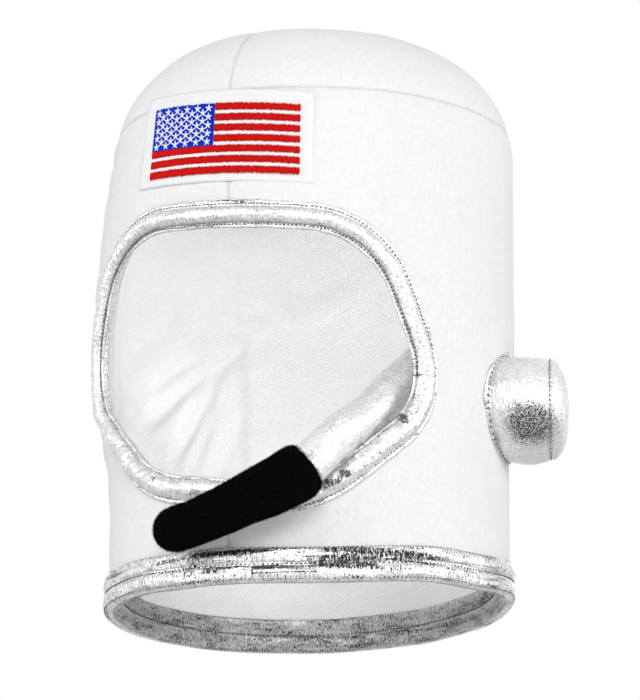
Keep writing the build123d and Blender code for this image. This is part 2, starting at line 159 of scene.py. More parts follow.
def makePiece(name, points, faces, finish, faceUvs):
    mesh = bpy.data.meshes.new(name)
    mesh.from_pydata([Vector(point) * mm for point in points], [], faces)
    layer = mesh.uv_layers.new(name="cloth")
    corners = [corner for face in faceUvs for corner in face]
    layer.data.foreach_set("uv", [value * mm for corner in corners for value in corner])
    cleaner = bmesh.new()
    cleaner.from_mesh(mesh)
    bmesh.ops.remove_doubles(cleaner, verts=cleaner.verts, dist=weldGap)
    bmesh.ops.recalc_face_normals(cleaner, faces=cleaner.faces)
    cleaner.to_mesh(mesh)
    cleaner.free()
    mesh.materials.append(finish)
    mesh.shade_smooth()
    return linkPiece(name, mesh)


# Lengths measured along a row of points, from nothing at the first
def lengthsAlong(points):
    lengths = [0.0]
    for start, end in zip(points, points[1:]):
        lengths.append(lengths[-1] + (end - start).length)
    return lengths


# Rings of points joined into a tube, either closed on itself or capped at both ends
def sweepPiece(name, rings, finish, closedAlong):
    count, across = len(rings), len(rings[0])
    points = [point for ring in rings for point in ring]
    middles = [sum(ring, Vector()) / across for ring in rings]
    along = lengthsAlong(middles + middles[:1])
    widest = rings[count // 2]
    girth = lengthsAlong(widest + widest[:1])
    faces, faceUvs = [], []
    for row in range(count if closedAlong else count - 1):
        here, there = row * across, (row + 1) % count * across
        for column in range(across):
            after = (column + 1) % across
            faces.append((here + column, here + after, there + after, there + column))
            faceUvs.append((
                (along[row], girth[column]),
                (along[row], girth[column + 1]),
                (along[row + 1], girth[column + 1]),
                (along[row + 1], girth[column]),
            ))
    if not closedAlong:
        for row in (0, count - 1):
            points.append(middles[row])
            for column in range(across):
                after = (column + 1) % across
                faces.append((row * across + column, row * across + after, len(points) - 1))
                faceUvs.append((
                    (along[row], girth[column]),
                    (along[row], girth[column + 1]),
                    (along[row] + 1.0, girth[column]),
                ))
    return makePiece(name, points, faces, finish, faceUvs)


def gridQuads(columns, rows):
    stride = columns + 1
    corners = [row * stride + column for row in range(rows) for column in range(columns)]
    return [(corner, corner + 1, corner + 1 + stride, corner + stride) for corner in corners]


liningRim = math.radians(60.0)  # the lining's rims stay sharp past this turn


# An outer and an inner face of the same pattern, closed round every edge
def closedPanel(name, outer, inner, quads, flat, finish):
    count = len(outer)
    faces = [tuple(quad) for quad in quads]
    faces += [tuple(index + count for index in reversed(quad)) for quad in quads]
    edges = {}
    for quad in quads:
        for edge in zip(quad, quad[1:] + quad[:1]):
            edges[edge] = True
    for start, end in edges:
        if (end, start) not in edges:
            faces.append((end, start, start + count, end + count))
    faceUvs = [[flat[index % count] for index in face] for face in faces]
    piece = makePiece(name, outer + inner, faces, finish, faceUvs)
    if finish == liningFinish:
        piece.data.set_sharp_from_angle(angle=liningRim)
    return piece


def bell(distance, width):
    return math.exp(-((distance / width) ** 2))


def seedCloud(point, size, seed):
    return noise.noise(Vector(point) / size + Vector((seed * 7.31, seed * 3.17, seed * 5.77)))


# Each cloud is (rise, size, seed)
def cloudSum(point, clouds):
    return sum(rise * seedCloud(point, size, seed) for rise, size, seed in clouds)


# How strongly the painted shade and painted dark reflections darken the silver
paintedShadeGain = 1.25


# Paints dark reflections and shade into a vertex attribute, from places that are each (across, height, half
# width, half height, strength) on the shell, in mm
def paintShadePlaces(piece, places):
    values = []
    for vertex in piece.data.vertices:
        across = math.atan2(vertex.co.x, -vertex.co.y) * shell["radius"]
        height = vertex.co.z / mm
        value = 0.0
        for middle, level, wide, tall, strength in places:
            gap = gapRound(middle, across)
            value += paintedShadeGain * strength * math.exp(-((gap / wide) ** 4) - ((height - level) / tall) ** 2)
        values.append(min(value, 1.0))
    layer = piece.data.attributes.new("paintedShade", "FLOAT", "POINT")
    layer.data.foreach_set("value", values)


settling = {
    "voxel": 4.0 * mm,
    "quality": 5,
    "pressure": 4.0,
    "lastFrame": 20,
    "nearPoints": 8,
    "softness": 1.0 * mm,
}


# Padding under its cover: a coarse copy swells as cloth, and the piece takes its moves
# without their mean growth. The moves are small, mostly far under a millimetre.
def settlePadding(piece, cap):
    scene = bpy.context.scene
    copy = linkPiece(piece.name + "_settling", piece.data.copy())
    remesh = copy.modifiers.new("remesh", "REMESH")
    remesh.mode = "VOXEL"
    remesh.voxel_size = settling["voxel"]
    plain = bpy.data.meshes.new_from_object(copy.evaluated_get(bpy.context.evaluated_depsgraph_get()))
    copy.modifiers.clear()
    copy.data = plain
    cloth = copy.modifiers.new("cover", "CLOTH")
    cloth.settings.quality = settling["quality"]
    cloth.settings.use_pressure = True
    cloth.settings.uniform_pressure_force = settling["pressure"]
    cloth.settings.effector_weights.gravity = 0.0
    for moment in range(1, settling["lastFrame"] + 1):
        scene.frame_set(moment)
    swollen = copy.evaluated_get(bpy.context.evaluated_depsgraph_get()).to_mesh()
    starts = [vertex.co.copy() for vertex in plain.vertices]
    ways = [vertex.normal.copy() for vertex in plain.vertices]
    moves = [end.co - start for end, start in zip(swollen.vertices, starts)]
    growth = sum(move.dot(way) for move, way in zip(moves, ways)) / len(moves)
    moves = [move - way * growth for move, way in zip(moves, ways)]
    nearest = KDTree(len(starts))
    for index, start in enumerate(starts):
        nearest.insert(start, index)
    nearest.balance()
    scene.frame_set(1)
    bpy.data.objects.remove(copy)
    reaches = []
    for vertex in piece.data.vertices:
        total, weights = Vector(), 0.0
        for place, index, distance in nearest.find_n(vertex.co, settling["nearPoints"]):
            weight = 1.0 / (distance + settling["softness"])
            total += moves[index] * weight
            weights += weight
        move = total / weights
        if move.length > cap * mm:
            move *= cap * mm / move.length
        vertex.co += move
        reaches.append(move.length / mm)
    piece.data.update()
    mean = sum(reaches) / len(reaches)
    print(f"{piece.name} settled, growth {growth / mm:.3f} mm, moved {mean:.3f} to {max(reaches):.3f} mm")


def bodySheet(piece, width, length):
    area = sum(polygon.area for polygon in piece.data.polygons) / 2
    area = min(area, width * length * mm * mm)


# Finishes

def makePlush():
    finish, tree, shader = newFinish(
        "whitePlush", 0.95, Sheen_Weight=0.25, Sheen_Roughness=0.6, Specular_IOR_Level=0.2
    )
    place = placeOn(tree)
    pile = noiseOn(tree, place, (1300, 1300, 1300), 3.0, 0.7)
    tufts = noiseOn(tree, place, (420, 420, 300), 2.0, 0.6)
    nap = noiseOn(tree, place, (45, 45, 30), 2.0)
    shade = rangeOf(tree, mathOf(tree, "ADD", pile, tufts), 0.7, 1.3)
    colour = blendColours(tree, shade, (0.86, 0.86, 0.865), (0.95, 0.95, 0.95))
    colour = blendColours(tree, rangeOf(tree, nap, 0.35, 0.65, 0.0, 0.35), colour, (0.9, 0.9, 0.905))
    normal = bumpOf(tree, tufts, 0.0009, 0.5)
    paintWith(tree, shader, colour, bumpOf(tree, pile, 0.0006, 0.7, normal))
    return finish


def makeLining():
    finish, tree, shader = newFinish("liningCloth", 0.75, Sheen_Weight=0.1, Specular_IOR_Level=0.3)
    flat = placeOn(tree, "UV")
    warp, weft = (waveOn(tree, flat, turn, 215.0, 0.4) for turn in (0.6, 0.6 + math.pi / 2))
    weave = mathOf(tree, "MULTIPLY", warp, weft)
    cloud = noiseOn(tree, placeOn(tree), (35, 35, 35), 3.0)
    colour = blendColours(tree, weave, (0.85, 0.85, 0.855), (0.97, 0.97, 0.975))
    colour = blendColours(tree, rangeOf(tree, cloud, 0.3, 0.7, 0.0, 0.4), colour, (0.92, 0.92, 0.925))
    normal = bumpOf(tree, weave, 0.0004, 0.8)
    paintWith(tree, shader, colour, bumpOf(tree, cloud, 0.0015, 0.25, normal))
    return finish


# How far the silver's textures are stretched, as shares of its ribs or as plain counts, by what lays them
silverStretch = {
    "UV": lambda rib: ((rib, rib * 0.16, 1), (rib * 1.2, rib * 0.55, 1), (55, 190, 1), (22, 330, 1)),
    "Object": lambda rib: ((rib, rib, rib * 0.4), (rib, rib, rib * 0.8), (70, 70, 60), (60, 60, 200)),
}


# Silver knit: fine ribs across the strip, dark flecks, and long dark streaks that the ribs break up; the
# flecks and streaks are painted dark reflections, and the ribs' darker grooves are painted shade
def makeSilver(name, look):
    finish, tree, shader = newFinish(name, look["roughness"], Metallic=1.0)
    laidBy = look.get("laidBy", "UV")
    place = placeOn(tree, laidBy)
    ribStretch, fleckStretch, patchStretch, streakStretch = silverStretch[laidBy](look["rib"])
    ribs = noiseOn(tree, place, ribStretch, 2.0, 0.5, 0.3)
    flecks = noiseOn(tree, place, fleckStretch, 3.0, 0.65, 0.4)
    patches = noiseOn(tree, place, patchStretch, 3.0, 0.6)
    streaks = noiseOn(tree, place, streakStretch, 3.0, 0.6, 0.5)
    # Dark flecks and streaks painted into the colour: painted dark reflections
    local = mathOf(tree, "ADD", flecks, rangeOf(tree, patches, 0.35, 0.7, -0.09, 0.12))
    mask = rangeOf(tree, local, look["flecks"], look["flecks"] + 0.09)
    streak = rangeOf(tree, streaks, look["streaks"], look["streaks"] + 0.12)
    broken = rangeOf(tree, ribs, 0.38, 0.56, 0.15, 1.0)
    mask = mathOf(tree, "MAXIMUM", mask, mathOf(tree, "MULTIPLY", streak, broken))
    # Painted shade and painted dark reflections, read from the vertex attribute, darken the colour where the
    # ribs and flecks let them
    paintedShade = addNode(tree, "ShaderNodeAttribute", attribute_name="paintedShade").outputs["Fac"]
    paintedShadeRibs = mathOf(tree, "MULTIPLY", ribs, paintedShade)
    paintedShadeRibs = mathOf(tree, "ADD", paintedShadeRibs, rangeOf(tree, paintedShade, 0.0, 1.0, 0.0, 0.17))
    paintedShadeMask = rangeOf(tree, flecks, 0.38, 0.46, 0.3, 1.0)
    paintedShadeMask = mathOf(tree, "MULTIPLY", rangeOf(tree, paintedShadeRibs, 0.52, 0.62), paintedShadeMask)
    mask = mathOf(tree, "MAXIMUM", mask, paintedShadeMask)
    # A dark patch painted round one place on the knob: a painted dark reflection
    if "shade" in look:
        ball = textureOn(tree, place, look["shade"], "ShaderNodeTexGradient", gradient_type="SPHERICAL")
        fine = noiseOn(tree, place, (2100, 2100, 1700), 2.0, 0.6)
        shade = mathOf(tree, "ADD", fine, rangeOf(tree, ball, 0.0, 0.6, -0.24, 0.09))
        mask = mathOf(tree, "MAXIMUM", mask, rangeOf(tree, shade, 0.49, 0.58))
    pale, dark = look["pale"], look["dark"]
    # Rib grooves painted darker than their crests: painted shade between the ribs
    ribShading = rangeOf(tree, ribs, 0.42, 0.56)
    ribShading = blendColours(tree, ribShading, (pale * look["ribShade"],) * 3, (pale, pale, pale * 1.01))
    colour = blendColours(tree, mask, ribShading, (dark, dark, dark * 1.03))
    rough = rangeOf(tree, patches, 0.35, 0.65, look["roughness"] * 0.7, look["roughness"] * 1.35)
    normal = bumpOf(tree, patches, 0.0014, 0.6)
    normal = bumpOf(tree, ribs, 0.0006, 0.9, normal)
    normal = bumpOf(tree, flecks, 0.0004, 0.5, normal)
    paintWith(tree, shader, colour, normal)
    joinNodes(tree, (rough, shader.inputs["Roughness"]))
    return finish


def makeFleece():
    finish, tree, shader = newFinish(
        "blackFleece", 1.0, Sheen_Weight=0.02, Sheen_Roughness=0.5, Specular_IOR_Level=0.03
    )
    place = placeOn(tree)
    pile = noiseOn(tree, place, (1500, 1500, 1500), 3.0, 0.7)
    lint = noiseOn(tree, place, (700, 700, 700), 1.0, 0.5)
    colour = blendColours(tree, pile, (0.0006, 0.0006, 0.0006), (0.004, 0.004, 0.0042))
    colour = blendColours(tree, rangeOf(tree, lint, 0.72, 0.76, 0.0, 0.5), colour, (0.05, 0.05, 0.05))
    paintWith(tree, shader, colour, bumpOf(tree, pile, 0.0008, 0.8))
    return finish


def makeThread(name, deep, bright, gloss=0.3):
    finish, tree, shader = newFinish(name, 0.6, Specular_IOR_Level=gloss)
    place = placeOn(tree)
    strand = noiseOn(tree, place, (2600, 2600, 700), 2.0, 0.6)
    cloud = noiseOn(tree, place, (160, 160, 160), 2.0)
    colour = blendColours(tree, rangeOf(tree, strand, 0.3, 0.7), deep, bright)
    colour = blendColours(tree, rangeOf(tree, cloud, 0.3, 0.7, 0.0, 0.3), colour, deep)
    paintWith(tree, shader, colour, bumpOf(tree, strand, 0.0002, 0.6))
    return finish


def makeTwill():
    finish, tree, shader = newFinish("patchCloth", 0.85, Sheen_Weight=0.15, Specular_IOR_Level=0.25)
    place = placeOn(tree, "UV")
    twill = waveOn(tree, place, 0.8, 420.0, 0.6)
    fuzz = noiseOn(tree, place, (900, 900, 900), 3.0, 0.6)
    colour = blendColours(tree, twill, (0.86, 0.86, 0.86), (0.94, 0.94, 0.935))
    colour = blendColours(tree, rangeOf(tree, fuzz, 0.3, 0.7, 0.0, 0.3), colour, (0.9, 0.9, 0.9))
    paintWith(tree, shader, colour, bumpOf(tree, twill, 0.00015, 0.5))
    return finish


silverLooks = {
    "trimSilver": {
        "rib": 1150.0, "pale": 0.86, "dark": 0.08, "flecks": 0.61, "streaks": 0.70,
        "roughness": 0.33, "ribShade": 0.77,
    },
    "edgeSilver": {
        "rib": 1000.0, "pale": 0.86, "dark": 0.12, "flecks": 0.57, "streaks": 0.57,
        "roughness": 0.38, "ribShade": 0.76,
    },
    "bandSilver": {
        "rib": 1100.0, "pale": 0.90, "dark": 0.02, "flecks": 0.56, "streaks": 0.555,
        "roughness": 0.28, "ribShade": 0.62,
    },
    # The band's own silver on its inside, darker: painted shade inside the neck
    "bandSilverShaded": {
        "rib": 1250.0, "pale": 0.60, "dark": 0.08, "flecks": 0.51, "streaks": 0.62,
        "roughness": 0.45, "ribShade": 0.72,
    },
    "knobSilver": {
        "rib": 900.0, "pale": 0.86, "dark": 0.03, "flecks": 0.66, "streaks": 0.78,
        "roughness": 0.33, "ribShade": 0.86, "laidBy": "Object",
        "shade": {"Location": (-5.85, 0.33, -4.51), "Scale": (47.0, 30.0, 51.0)},
    },
    "sleeveSilver": {
        "rib": 1200.0, "pale": 0.93, "dark": 0.55, "flecks": 0.53, "streaks": 0.80,
        "roughness": 0.55, "ribShade": 0.88,
    },
}
plushFinish = makePlush()
liningFinish = makeLining()
silver = {name: makeSilver(name, look) for name, look in silverLooks.items()}
fleeceFinish = makeFleece()
twillFinish = makeTwill()
whiteThread = makeThread("whiteThread", (0.84, 0.84, 0.88), (0.96, 0.96, 0.97))
redThread = makeThread("redThread", (0.50, 0.003, 0.002), (0.78, 0.010, 0.006), 0.08)
blueThread = makeThread("blueThread", (0.0, 0.022, 0.42), (0.0, 0.050, 0.72), 0.08)
# Near-black thread: the stitches are grey-silver, and this dark colour is painted shade of the grooves they
# sink in
stitchShadowThread = makeThread("stitchShadowThread", (0.02, 0.02, 0.022), (0.16, 0.16, 0.17))
print("finishes made")


# Shell outline, shared by all that is sewn to it

shell = {
    "radius": 105.0,
    "shoulderHeight": 243.5,
    "shoulderRadius": 54.5,
    "top": 300.0,
    "ringSeam": 253.0,
    "foot": 3.0,
    "paddingDepth": 7.9,
    "liningOutside": 8.0,
    "liningInside": 8.6,
    "cell": 2.0,
    "seamGap": 0.02,
    "seamDepth": 0.65,
    "seamWidth": 2.4,
    # how far the left side, then the right side, stands out at each height
    "leftAcross": -122.0,
    "leftWidth": 60.0,
    "leftSwell": (
        (0, -0.5), (20, -1.0), (51, -1.6), (72, -0.5), (88, 2.6), (105, 5.6), (126, 6.6), (150, 7.4),
        (168, 7.4), (190, 5.4), (211, 3.6), (228, 1.2), (243, -1.2), (262, -2.8), (285, -3.4), (305, -1.5),
        (330, 0.0),
    ),
    "rightAcross": 208.0,
    "rightWidth": 60.0,
    "rightSwell": (
        (0, -2.4), (25, -2.6), (45, -3.0), (75, -2.4), (110, -0.6), (150, 0.8), (235, 0.8), (270, 0.0),
        (300, -0.6), (325, -2.6), (350, -2.6), (368, -1.2), (379, 0.0),
    ),
    "viewTurn": math.radians(23.5),
    "rimFull": 22.0,
    "rimFade": 95.0,
    "rimWave": (
        (-180, 1.5), (-150, 0.6), (-125, 0.6), (-90, 1.4), (-60, 0.0), (-35, -2.0), (0, -3.5), (45, 1.6),
        (90, 7.6), (125, 5.0), (150, 3.0), (180, 1.5),
    ),
    "rimThin": 4.2,
    "rimThinHeight": 40.0,
    "plushDepth": 2.0,
    "foamDepth": 6.0,
    "haloWidth": 3.5,
    "haloShare": 0.25,
    "mostPull": 1.3,
    "puckerWidth": 9.0,
    "puckers": ((0.3, 7.0, 3),),
    "uneven": ((0.9, 55.0, 1), (0.3, 17.0, 2)),
}
crownRise = shell["top"] - shell["shoulderRadius"]
shoulderCentre = shell["radius"] - shell["shoulderRadius"]
crownCentre = (crownRise**2 - shoulderCentre**2 - shell["shoulderHeight"] ** 2) / (
    2 * (crownRise - shell["shoulderHeight"])
)
crownRadius = shell["top"] - crownCentre
shoulderTurn = math.atan2(shell["shoulderHeight"] - crownCentre, shoulderCentre)
crownStart = shell["shoulderHeight"] + shell["shoulderRadius"] * shoulderTurn
profileLength = crownStart + crownRadius * (math.pi / 2 - shoulderTurn)
halfRound = math.pi * shell["radius"]


# Radius and height at a length measured up the outline from the rim, and the way out there
def outlineAt(length):
    if length <= shell["shoulderHeight"]:
        return shell["radius"], length, 1.0, 0.0
    if length <= crownStart:
        turn = (length - shell["shoulderHeight"]) / shell["shoulderRadius"]
        centre, height, reach = shoulderCentre, shell["shoulderHeight"], shell["shoulderRadius"]
    else:
        turn = shoulderTurn + (length - crownStart) / crownRadius
        centre, height, reach = 0.0, crownCentre, crownRadius
    wayOut = (math.cos(turn), math.sin(turn))
    return max(centre + reach * wayOut[0], 0.0), height + reach * wayOut[1], wayOut[0], wayOut[1]


def lengthAtHeight(height):
    above = height - shell["shoulderHeight"]
    if above <= 0:
        return height
    return shell["shoulderHeight"] + shell["shoulderRadius"] * math.asin(above / shell["shoulderRadius"])


ringLength = lengthAtHeight(shell["ringSeam"])


# The shorter way round from one place to another
def gapRound(start, end):
    return (end - start + halfRound) % (2 * halfRound) - halfRound


def easeStep(value):
    value = min(max(value, 0.0), 1.0)
    return value * value * (3 - 2 * value)


# A smooth value from a row of places, at any place between them
def valueAlong(row, place):
    if place <= row[0][0]:
        return row[0][1]
    for (start, low), (end, high) in zip(row, row[1:]):
        if place <= end:
            return low + (high - low) * easeStep((place - start) / (end - start))
    return row[-1][1]


# The soft sides stand out or sink in
def sideSwell(across, length):
    swell = 0.0
    for side in ("left", "right"):
        beside = gapRound(shell[side + "Across"], across)
        swell += valueAlong(shell[side + "Swell"], length) * bell(beside, shell[side + "Width"])
    return swell


# The rim waves up and down round the neck
def rimWave(across, height):
    turn = math.degrees(across / shell["radius"] - shell["viewTurn"])
    turn = (turn + 180) % 360 - 180
    fade = 1 - easeStep((height - shell["rimFull"]) / (shell["rimFade"] - shell["rimFull"]))
    return valueAlong(shell["rimWave"], turn) * fade


# A point of the shell's flat pattern, lifted off its outside
def onShell(across, length, lift):
    reach, height, outward, upward = outlineAt(length)
    under = -shell["plushDepth"] - lift
    if under > 0:
        thin = shell["rimThin"] * (1 - easeStep(height / shell["rimThinHeight"]))
        lift += thin * min(under / shell["foamDepth"], 1.0)
    swell = sideSwell(across, length)
    reach = max(reach + outward * (lift + swell), 0.0)
    height += upward * (lift + swell) + rimWave(across, height)
    turn = across / shell["radius"]
    return Vector((reach * math.sin(turn), -reach * math.cos(turn), height))


# Rounded face opening, in the flat pattern

opening = {
    "topHalf": 70.9,
    "topHeight": 187.0,
    "sideHalf": 113.8,
    "sideHeight": 104.0,
    "footHalf": 47.8,
    "footHeight": 42.5,
    "topCorner": 56.0,
    "sideCorner": 42.0,
    "footCorner": 61.0,
    "tilt": math.radians(5.0),
    "leftTopOut": 11.0,
    "leftTopCorner": 53.0,
    "leftFootLift": 7.5,
    "leftFootIn": 4.0,
    "leftFootCorner": 72.0,
    "cutMargin": 4.9,
    # the part of the wall that the cut can reach, and how near a point snaps to it, in cells
    "nearAcross": 140.0,
    "nearLow": 20.0,
    "nearHigh": 215.0,
    "snapShare": 0.75,
    "arcSteps": 40,
    "finest": 1.0,
}


def turned(point, turn):
    cosine, sine = math.cos(turn), math.sin(turn)
    return Vector((point.x * cosine - point.y * sine, point.x * sine + point.y * cosine))


def roundedOutline(corners, radii):
    points = []
    for index, here in enumerate(corners):
        back = (corners[index - 1] - here).normalized()
        ahead = (corners[(index + 1) % len(corners)] - here).normalized()
        half = back.angle(ahead) / 2
        middle = here + (back + ahead).normalized() * (radii[index] / math.sin(half))
        first = here + back * (radii[index] / math.tan(half)) - middle
        sweep = (math.pi - 2 * half) * (1.0 if back.cross(ahead) < 0 else -1.0)
        for step in range(opening["arcSteps"] + 1):
            points.append(middle + turned(first, sweep * step / opening["arcSteps"]))
    fine = []
    for start, end in zip(points, points[1:] + points[:1]):
        pieces = max(1, int((end - start).length / opening["finest"]))
        fine += [start + (end - start) * step / pieces for step in range(pieces)]
    return fine


def openingOutline():
    middle = (opening["topHeight"] + opening["footHeight"]) / 2
    levels = ("top", "side", "foot")
    right = [Vector((opening[level + "Half"], opening[level + "Height"] - middle)) for level in levels]
    corners = right + [Vector((-point.x, point.y)) for point in reversed(right)]
    corners[3] += Vector((opening["leftFootIn"], opening["leftFootLift"]))
    corners[5].x -= opening["leftTopOut"]
    names = ("topCorner", "sideCorner", "footCorner", "leftFootCorner", "sideCorner", "leftTopCorner")
    points = roundedOutline(corners, [opening[name] for name in names])
    return [turned(point, -opening["tilt"]) + Vector((0, middle)) for point in points]


# Evenly spaced places along the opening, with the flat way outward at each
def evenPlaces(points, count):
    closed = points + [points[0]]
    lengths = lengthsAlong(closed)
    places = []
    segment = 0
    for index in range(count):
        target = lengths[-1] * index / count
        while lengths[segment + 1] < target:
            segment += 1
        share = (target - lengths[segment]) / (lengths[segment + 1] - lengths[segment])
        places.append(closed[segment].lerp(closed[segment + 1], share))
    middle = sum(points, Vector((0, 0))) / len(points)
    outward = []
    for index in range(count):
        along = (places[(index + 2) % count] - places[index - 2]).normalized()
        side = Vector((along.y, -along.x))
        outward.append(side if side.dot(places[index] - middle) > 0 else -side)
    return places, outward, lengths[-1]


trimSteps = 820
trimPlaces, trimOutward, trimLength = evenPlaces(openingOutline(), trimSteps)
cutEdge = [place + outward * opening["cutMargin"] for place, outward in zip(trimPlaces, trimOutward)]


# Distance to the cut, minus inside it, and the cut's nearest place
def distanceToCut(point):
    stride = 4
    best = min(range(0, trimSteps, stride), key=lambda index: (cutEdge[index] - point).length_squared)
    near = [(best + step) % trimSteps for step in range(-stride, stride + 1)]
    best = min(near, key=lambda index: (cutEdge[index] - point).length_squared)
    away = point - cutEdge[best]
    side = 1.0 if away.dot(trimOutward[best]) > 0 else -1.0
    return side * away.length, best


# Shell panels

folds = {
    # start across, start height, end across, end height, width, rise
    "ridges": [
        (-205.0, 152.0, -300.0, 190.0, 14.0, 4.0),
        (-212.0, 143.0, -238.6, 161.0, 8.0, 4.6),
        (-238.6, 161.0, -240.2, 96.0, 12.0, 4.4),
        (-197.0, 100.0, -228.0, 150.0, 9.0, 5.4),
        (-173.0, 115.0, -209.0, 141.0, 8.0, 5.0),
        (-180.0, 134.0, -214.0, 160.0, 7.0, 3.6),
        (-212.0, 98.0, -222.0, 124.0, 7.0, 3.4),
        (-160.0, 150.0, -196.0, 176.0, 12.0, 3.0),
        (-222.0, 84.0, -238.0, 118.0, 9.0, 2.4),
        (-262.0, 96.0, -318.0, 140.0, 16.0, 3.0),
        (-280.0, 168.0, -328.0, 205.0, 16.0, 3.2),
        (-190.0, 190.0, -250.0, 226.0, 18.0, 2.4),
        (250.0, 110.0, 315.0, 150.0, 18.0, 3.0),
        (180.0, 150.0, 240.0, 190.0, 18.0, 3.0),
        (140.0, 60.0, 200.0, 110.0, 16.0, 3.0),
        (-300.0, 40.0, -262.0, 74.0, 10.0, 2.6),
        (300.0, 36.0, 322.0, 70.0, 10.0, 2.6),
        (240.0, 34.0, 262.0, 66.0, 12.0, 2.6),
        (-210.0, 34.0, -190.0, 70.0, 12.0, 2.6),
    ],
    "lift": 1.4,
    "tuckAcross": -244.0,
    "tuckRise": 1.1,
    "tuckWidth": 1.4,
    "loose": 1.8,
    "clouds": ((2.0, 34.0, 5), (1.1, 13.0, 6)),
    "upStretch": 1.3,
    "crest": 0.13,
    # how near the lining is held: at its foot, at the ring seam, and slack at the front and back seams
    "footHold": 0.8,
    "ringHold": 0.7,
    "frontSlack": 4.0,
    "backSlack": 14.0,
    "easeWidth": 22.0,
}


def plushRelief(across, length):
    width = shell["seamWidth"]
    pulls = 0.0
    for distance in (across, halfRound - abs(across), length - ringLength):
        pulls += bell(distance, width) + shell["haloShare"] * bell(distance, width * shell["haloWidth"])
    relief = -shell["seamDepth"] * min(pulls, shell["mostPull"])
    pucker = bell(length - ringLength, shell["puckerWidth"])
    relief += pucker * cloudSum((across, length * 0.3, 0), shell["puckers"])
    return relief + cloudSum(onShell(across, length, 0.0), shell["uneven"])


def liningFold(across, length):
    turn = across / shell["radius"]
    place = Vector((math.sin(turn), -math.cos(turn), 0)) * shell["radius"]
    place.z = length * folds["upStretch"]
    rise = folds["loose"] + cloudSum(place, folds["clouds"])
    for startAcross, startHeight, endAcross, endHeight, width, height in folds["ridges"]:
        run = Vector((endAcross - startAcross, endHeight - startHeight))
        away = Vector((gapRound(startAcross, across), length - startHeight))
        share = min(max(away.dot(run) / run.length_squared, 0.0), 1.0)
        distance = math.hypot((away - run * share).length / width, folds["crest"])
        if distance < 1.0:
            fullness = 0.35 + 0.65 * math.sin(math.pi * (0.15 + 0.7 * share))
            rise += folds["lift"] * height * (1 - distance) ** 1.2 * fullness
    rise += folds["tuckRise"] * bell(across - folds["tuckAcross"], folds["tuckWidth"])
    return max(rise, 0.0)


# How far a place of the lining is from what holds it
def liningFree(point, low, cutDistance):
    return min(
        abs(cutDistance),
        abs(point.y - low) * folds["footHold"],
        abs(point.y - ringLength) * folds["ringHold"],
        abs(point.x) + folds["frontSlack"],
        halfRound - abs(point.x) + folds["backSlack"],
    )


def makePanel(name, side, band, outside, inside, finish, relief=None, fold=None):
    sign = 1.0 if side == "left" else -1.0
    low, high = shell["foot"], ringLength - shell["seamGap"]
    if band == "crown":
        low, high = ringLength + shell["seamGap"], profileLength
    start, end = shell["seamGap"], halfRound - shell["seamGap"]
    columns, rows = int((end - start) / shell["cell"]), int((high - low) / shell["cell"])
    flat = [
        Vector((sign * (start + (end - start) * column / columns), low + (high - low) * row / rows))
        for row in range(rows + 1)
        for column in range(columns + 1)
    ]
    farAway = 9999.0
    cutDistance = [farAway] * len(flat)
    cutAway = set()
    for index, point in enumerate(flat):
        if band == "crown" or abs(point.x) >= opening["nearAcross"]:
            continue
        if not opening["nearLow"] < point.y < opening["nearHigh"]:
            continue
        distance, place = distanceToCut(point)
        cutDistance[index] = distance
        if abs(distance) < shell["cell"] * opening["snapShare"]:
            flat[index] = cutEdge[place].copy()
            if sign * flat[index].x < start:
                flat[index].x = sign * start
            cutDistance[index] = 0.0
        elif distance < 0:
            cutAway.add(index)
    quads = [quad if sign > 0 else quad[::-1] for quad in gridQuads(columns, rows)]
    quads = [quad for quad in quads if not cutAway.intersection(quad) and any(cutDistance[i] for i in quad)]
    used = sorted({index for quad in quads for index in quad})
    outer, inner = [], []
    for index in used:
        point = flat[index]
        lift = relief(point.x, point.y) if relief else 0.0
        drop = 0.0
        if fold:
            free = easeStep(liningFree(point, low, cutDistance[index]) / folds["easeWidth"])
            drop = fold(point.x, point.y) * free
        outer.append(onShell(point.x, point.y, lift - outside - drop))
        inner.append(onShell(point.x, point.y, -inside - drop))
    renumbered = {index: place for place, index in enumerate(used)}
    quads = [tuple(renumbered[index] for index in quad) for quad in quads]
    return closedPanel(name, outer, inner, quads, [tuple(flat[index]) for index in used], finish)


for side in ("left", "right"):
    for band in ("wall", "crown"):
        padding = makePanel(
            f"{band}_padding_{side}", side, band, 0.0, shell["paddingDepth"], plushFinish, relief=plushRelief
        )
        fitPiece(padding, "helmet", "white_plush", f"{band}_plush_{side}", f"{band}_foam_{side}")
        depths = shell["liningOutside"], shell["liningInside"]
        lining = makePanel(f"{band}_cloth_{side}", side, band, *depths, liningFinish, fold=liningFold)
        fitPiece(lining, "helmet", "lining_cloth", f"{band}_lining_{side}")
        length = ringLength - shell["foot"] if band == "wall" else profileLength - ringLength
        bodySheet(lining, halfRound, length)
print("shell panels made")


# Face trim

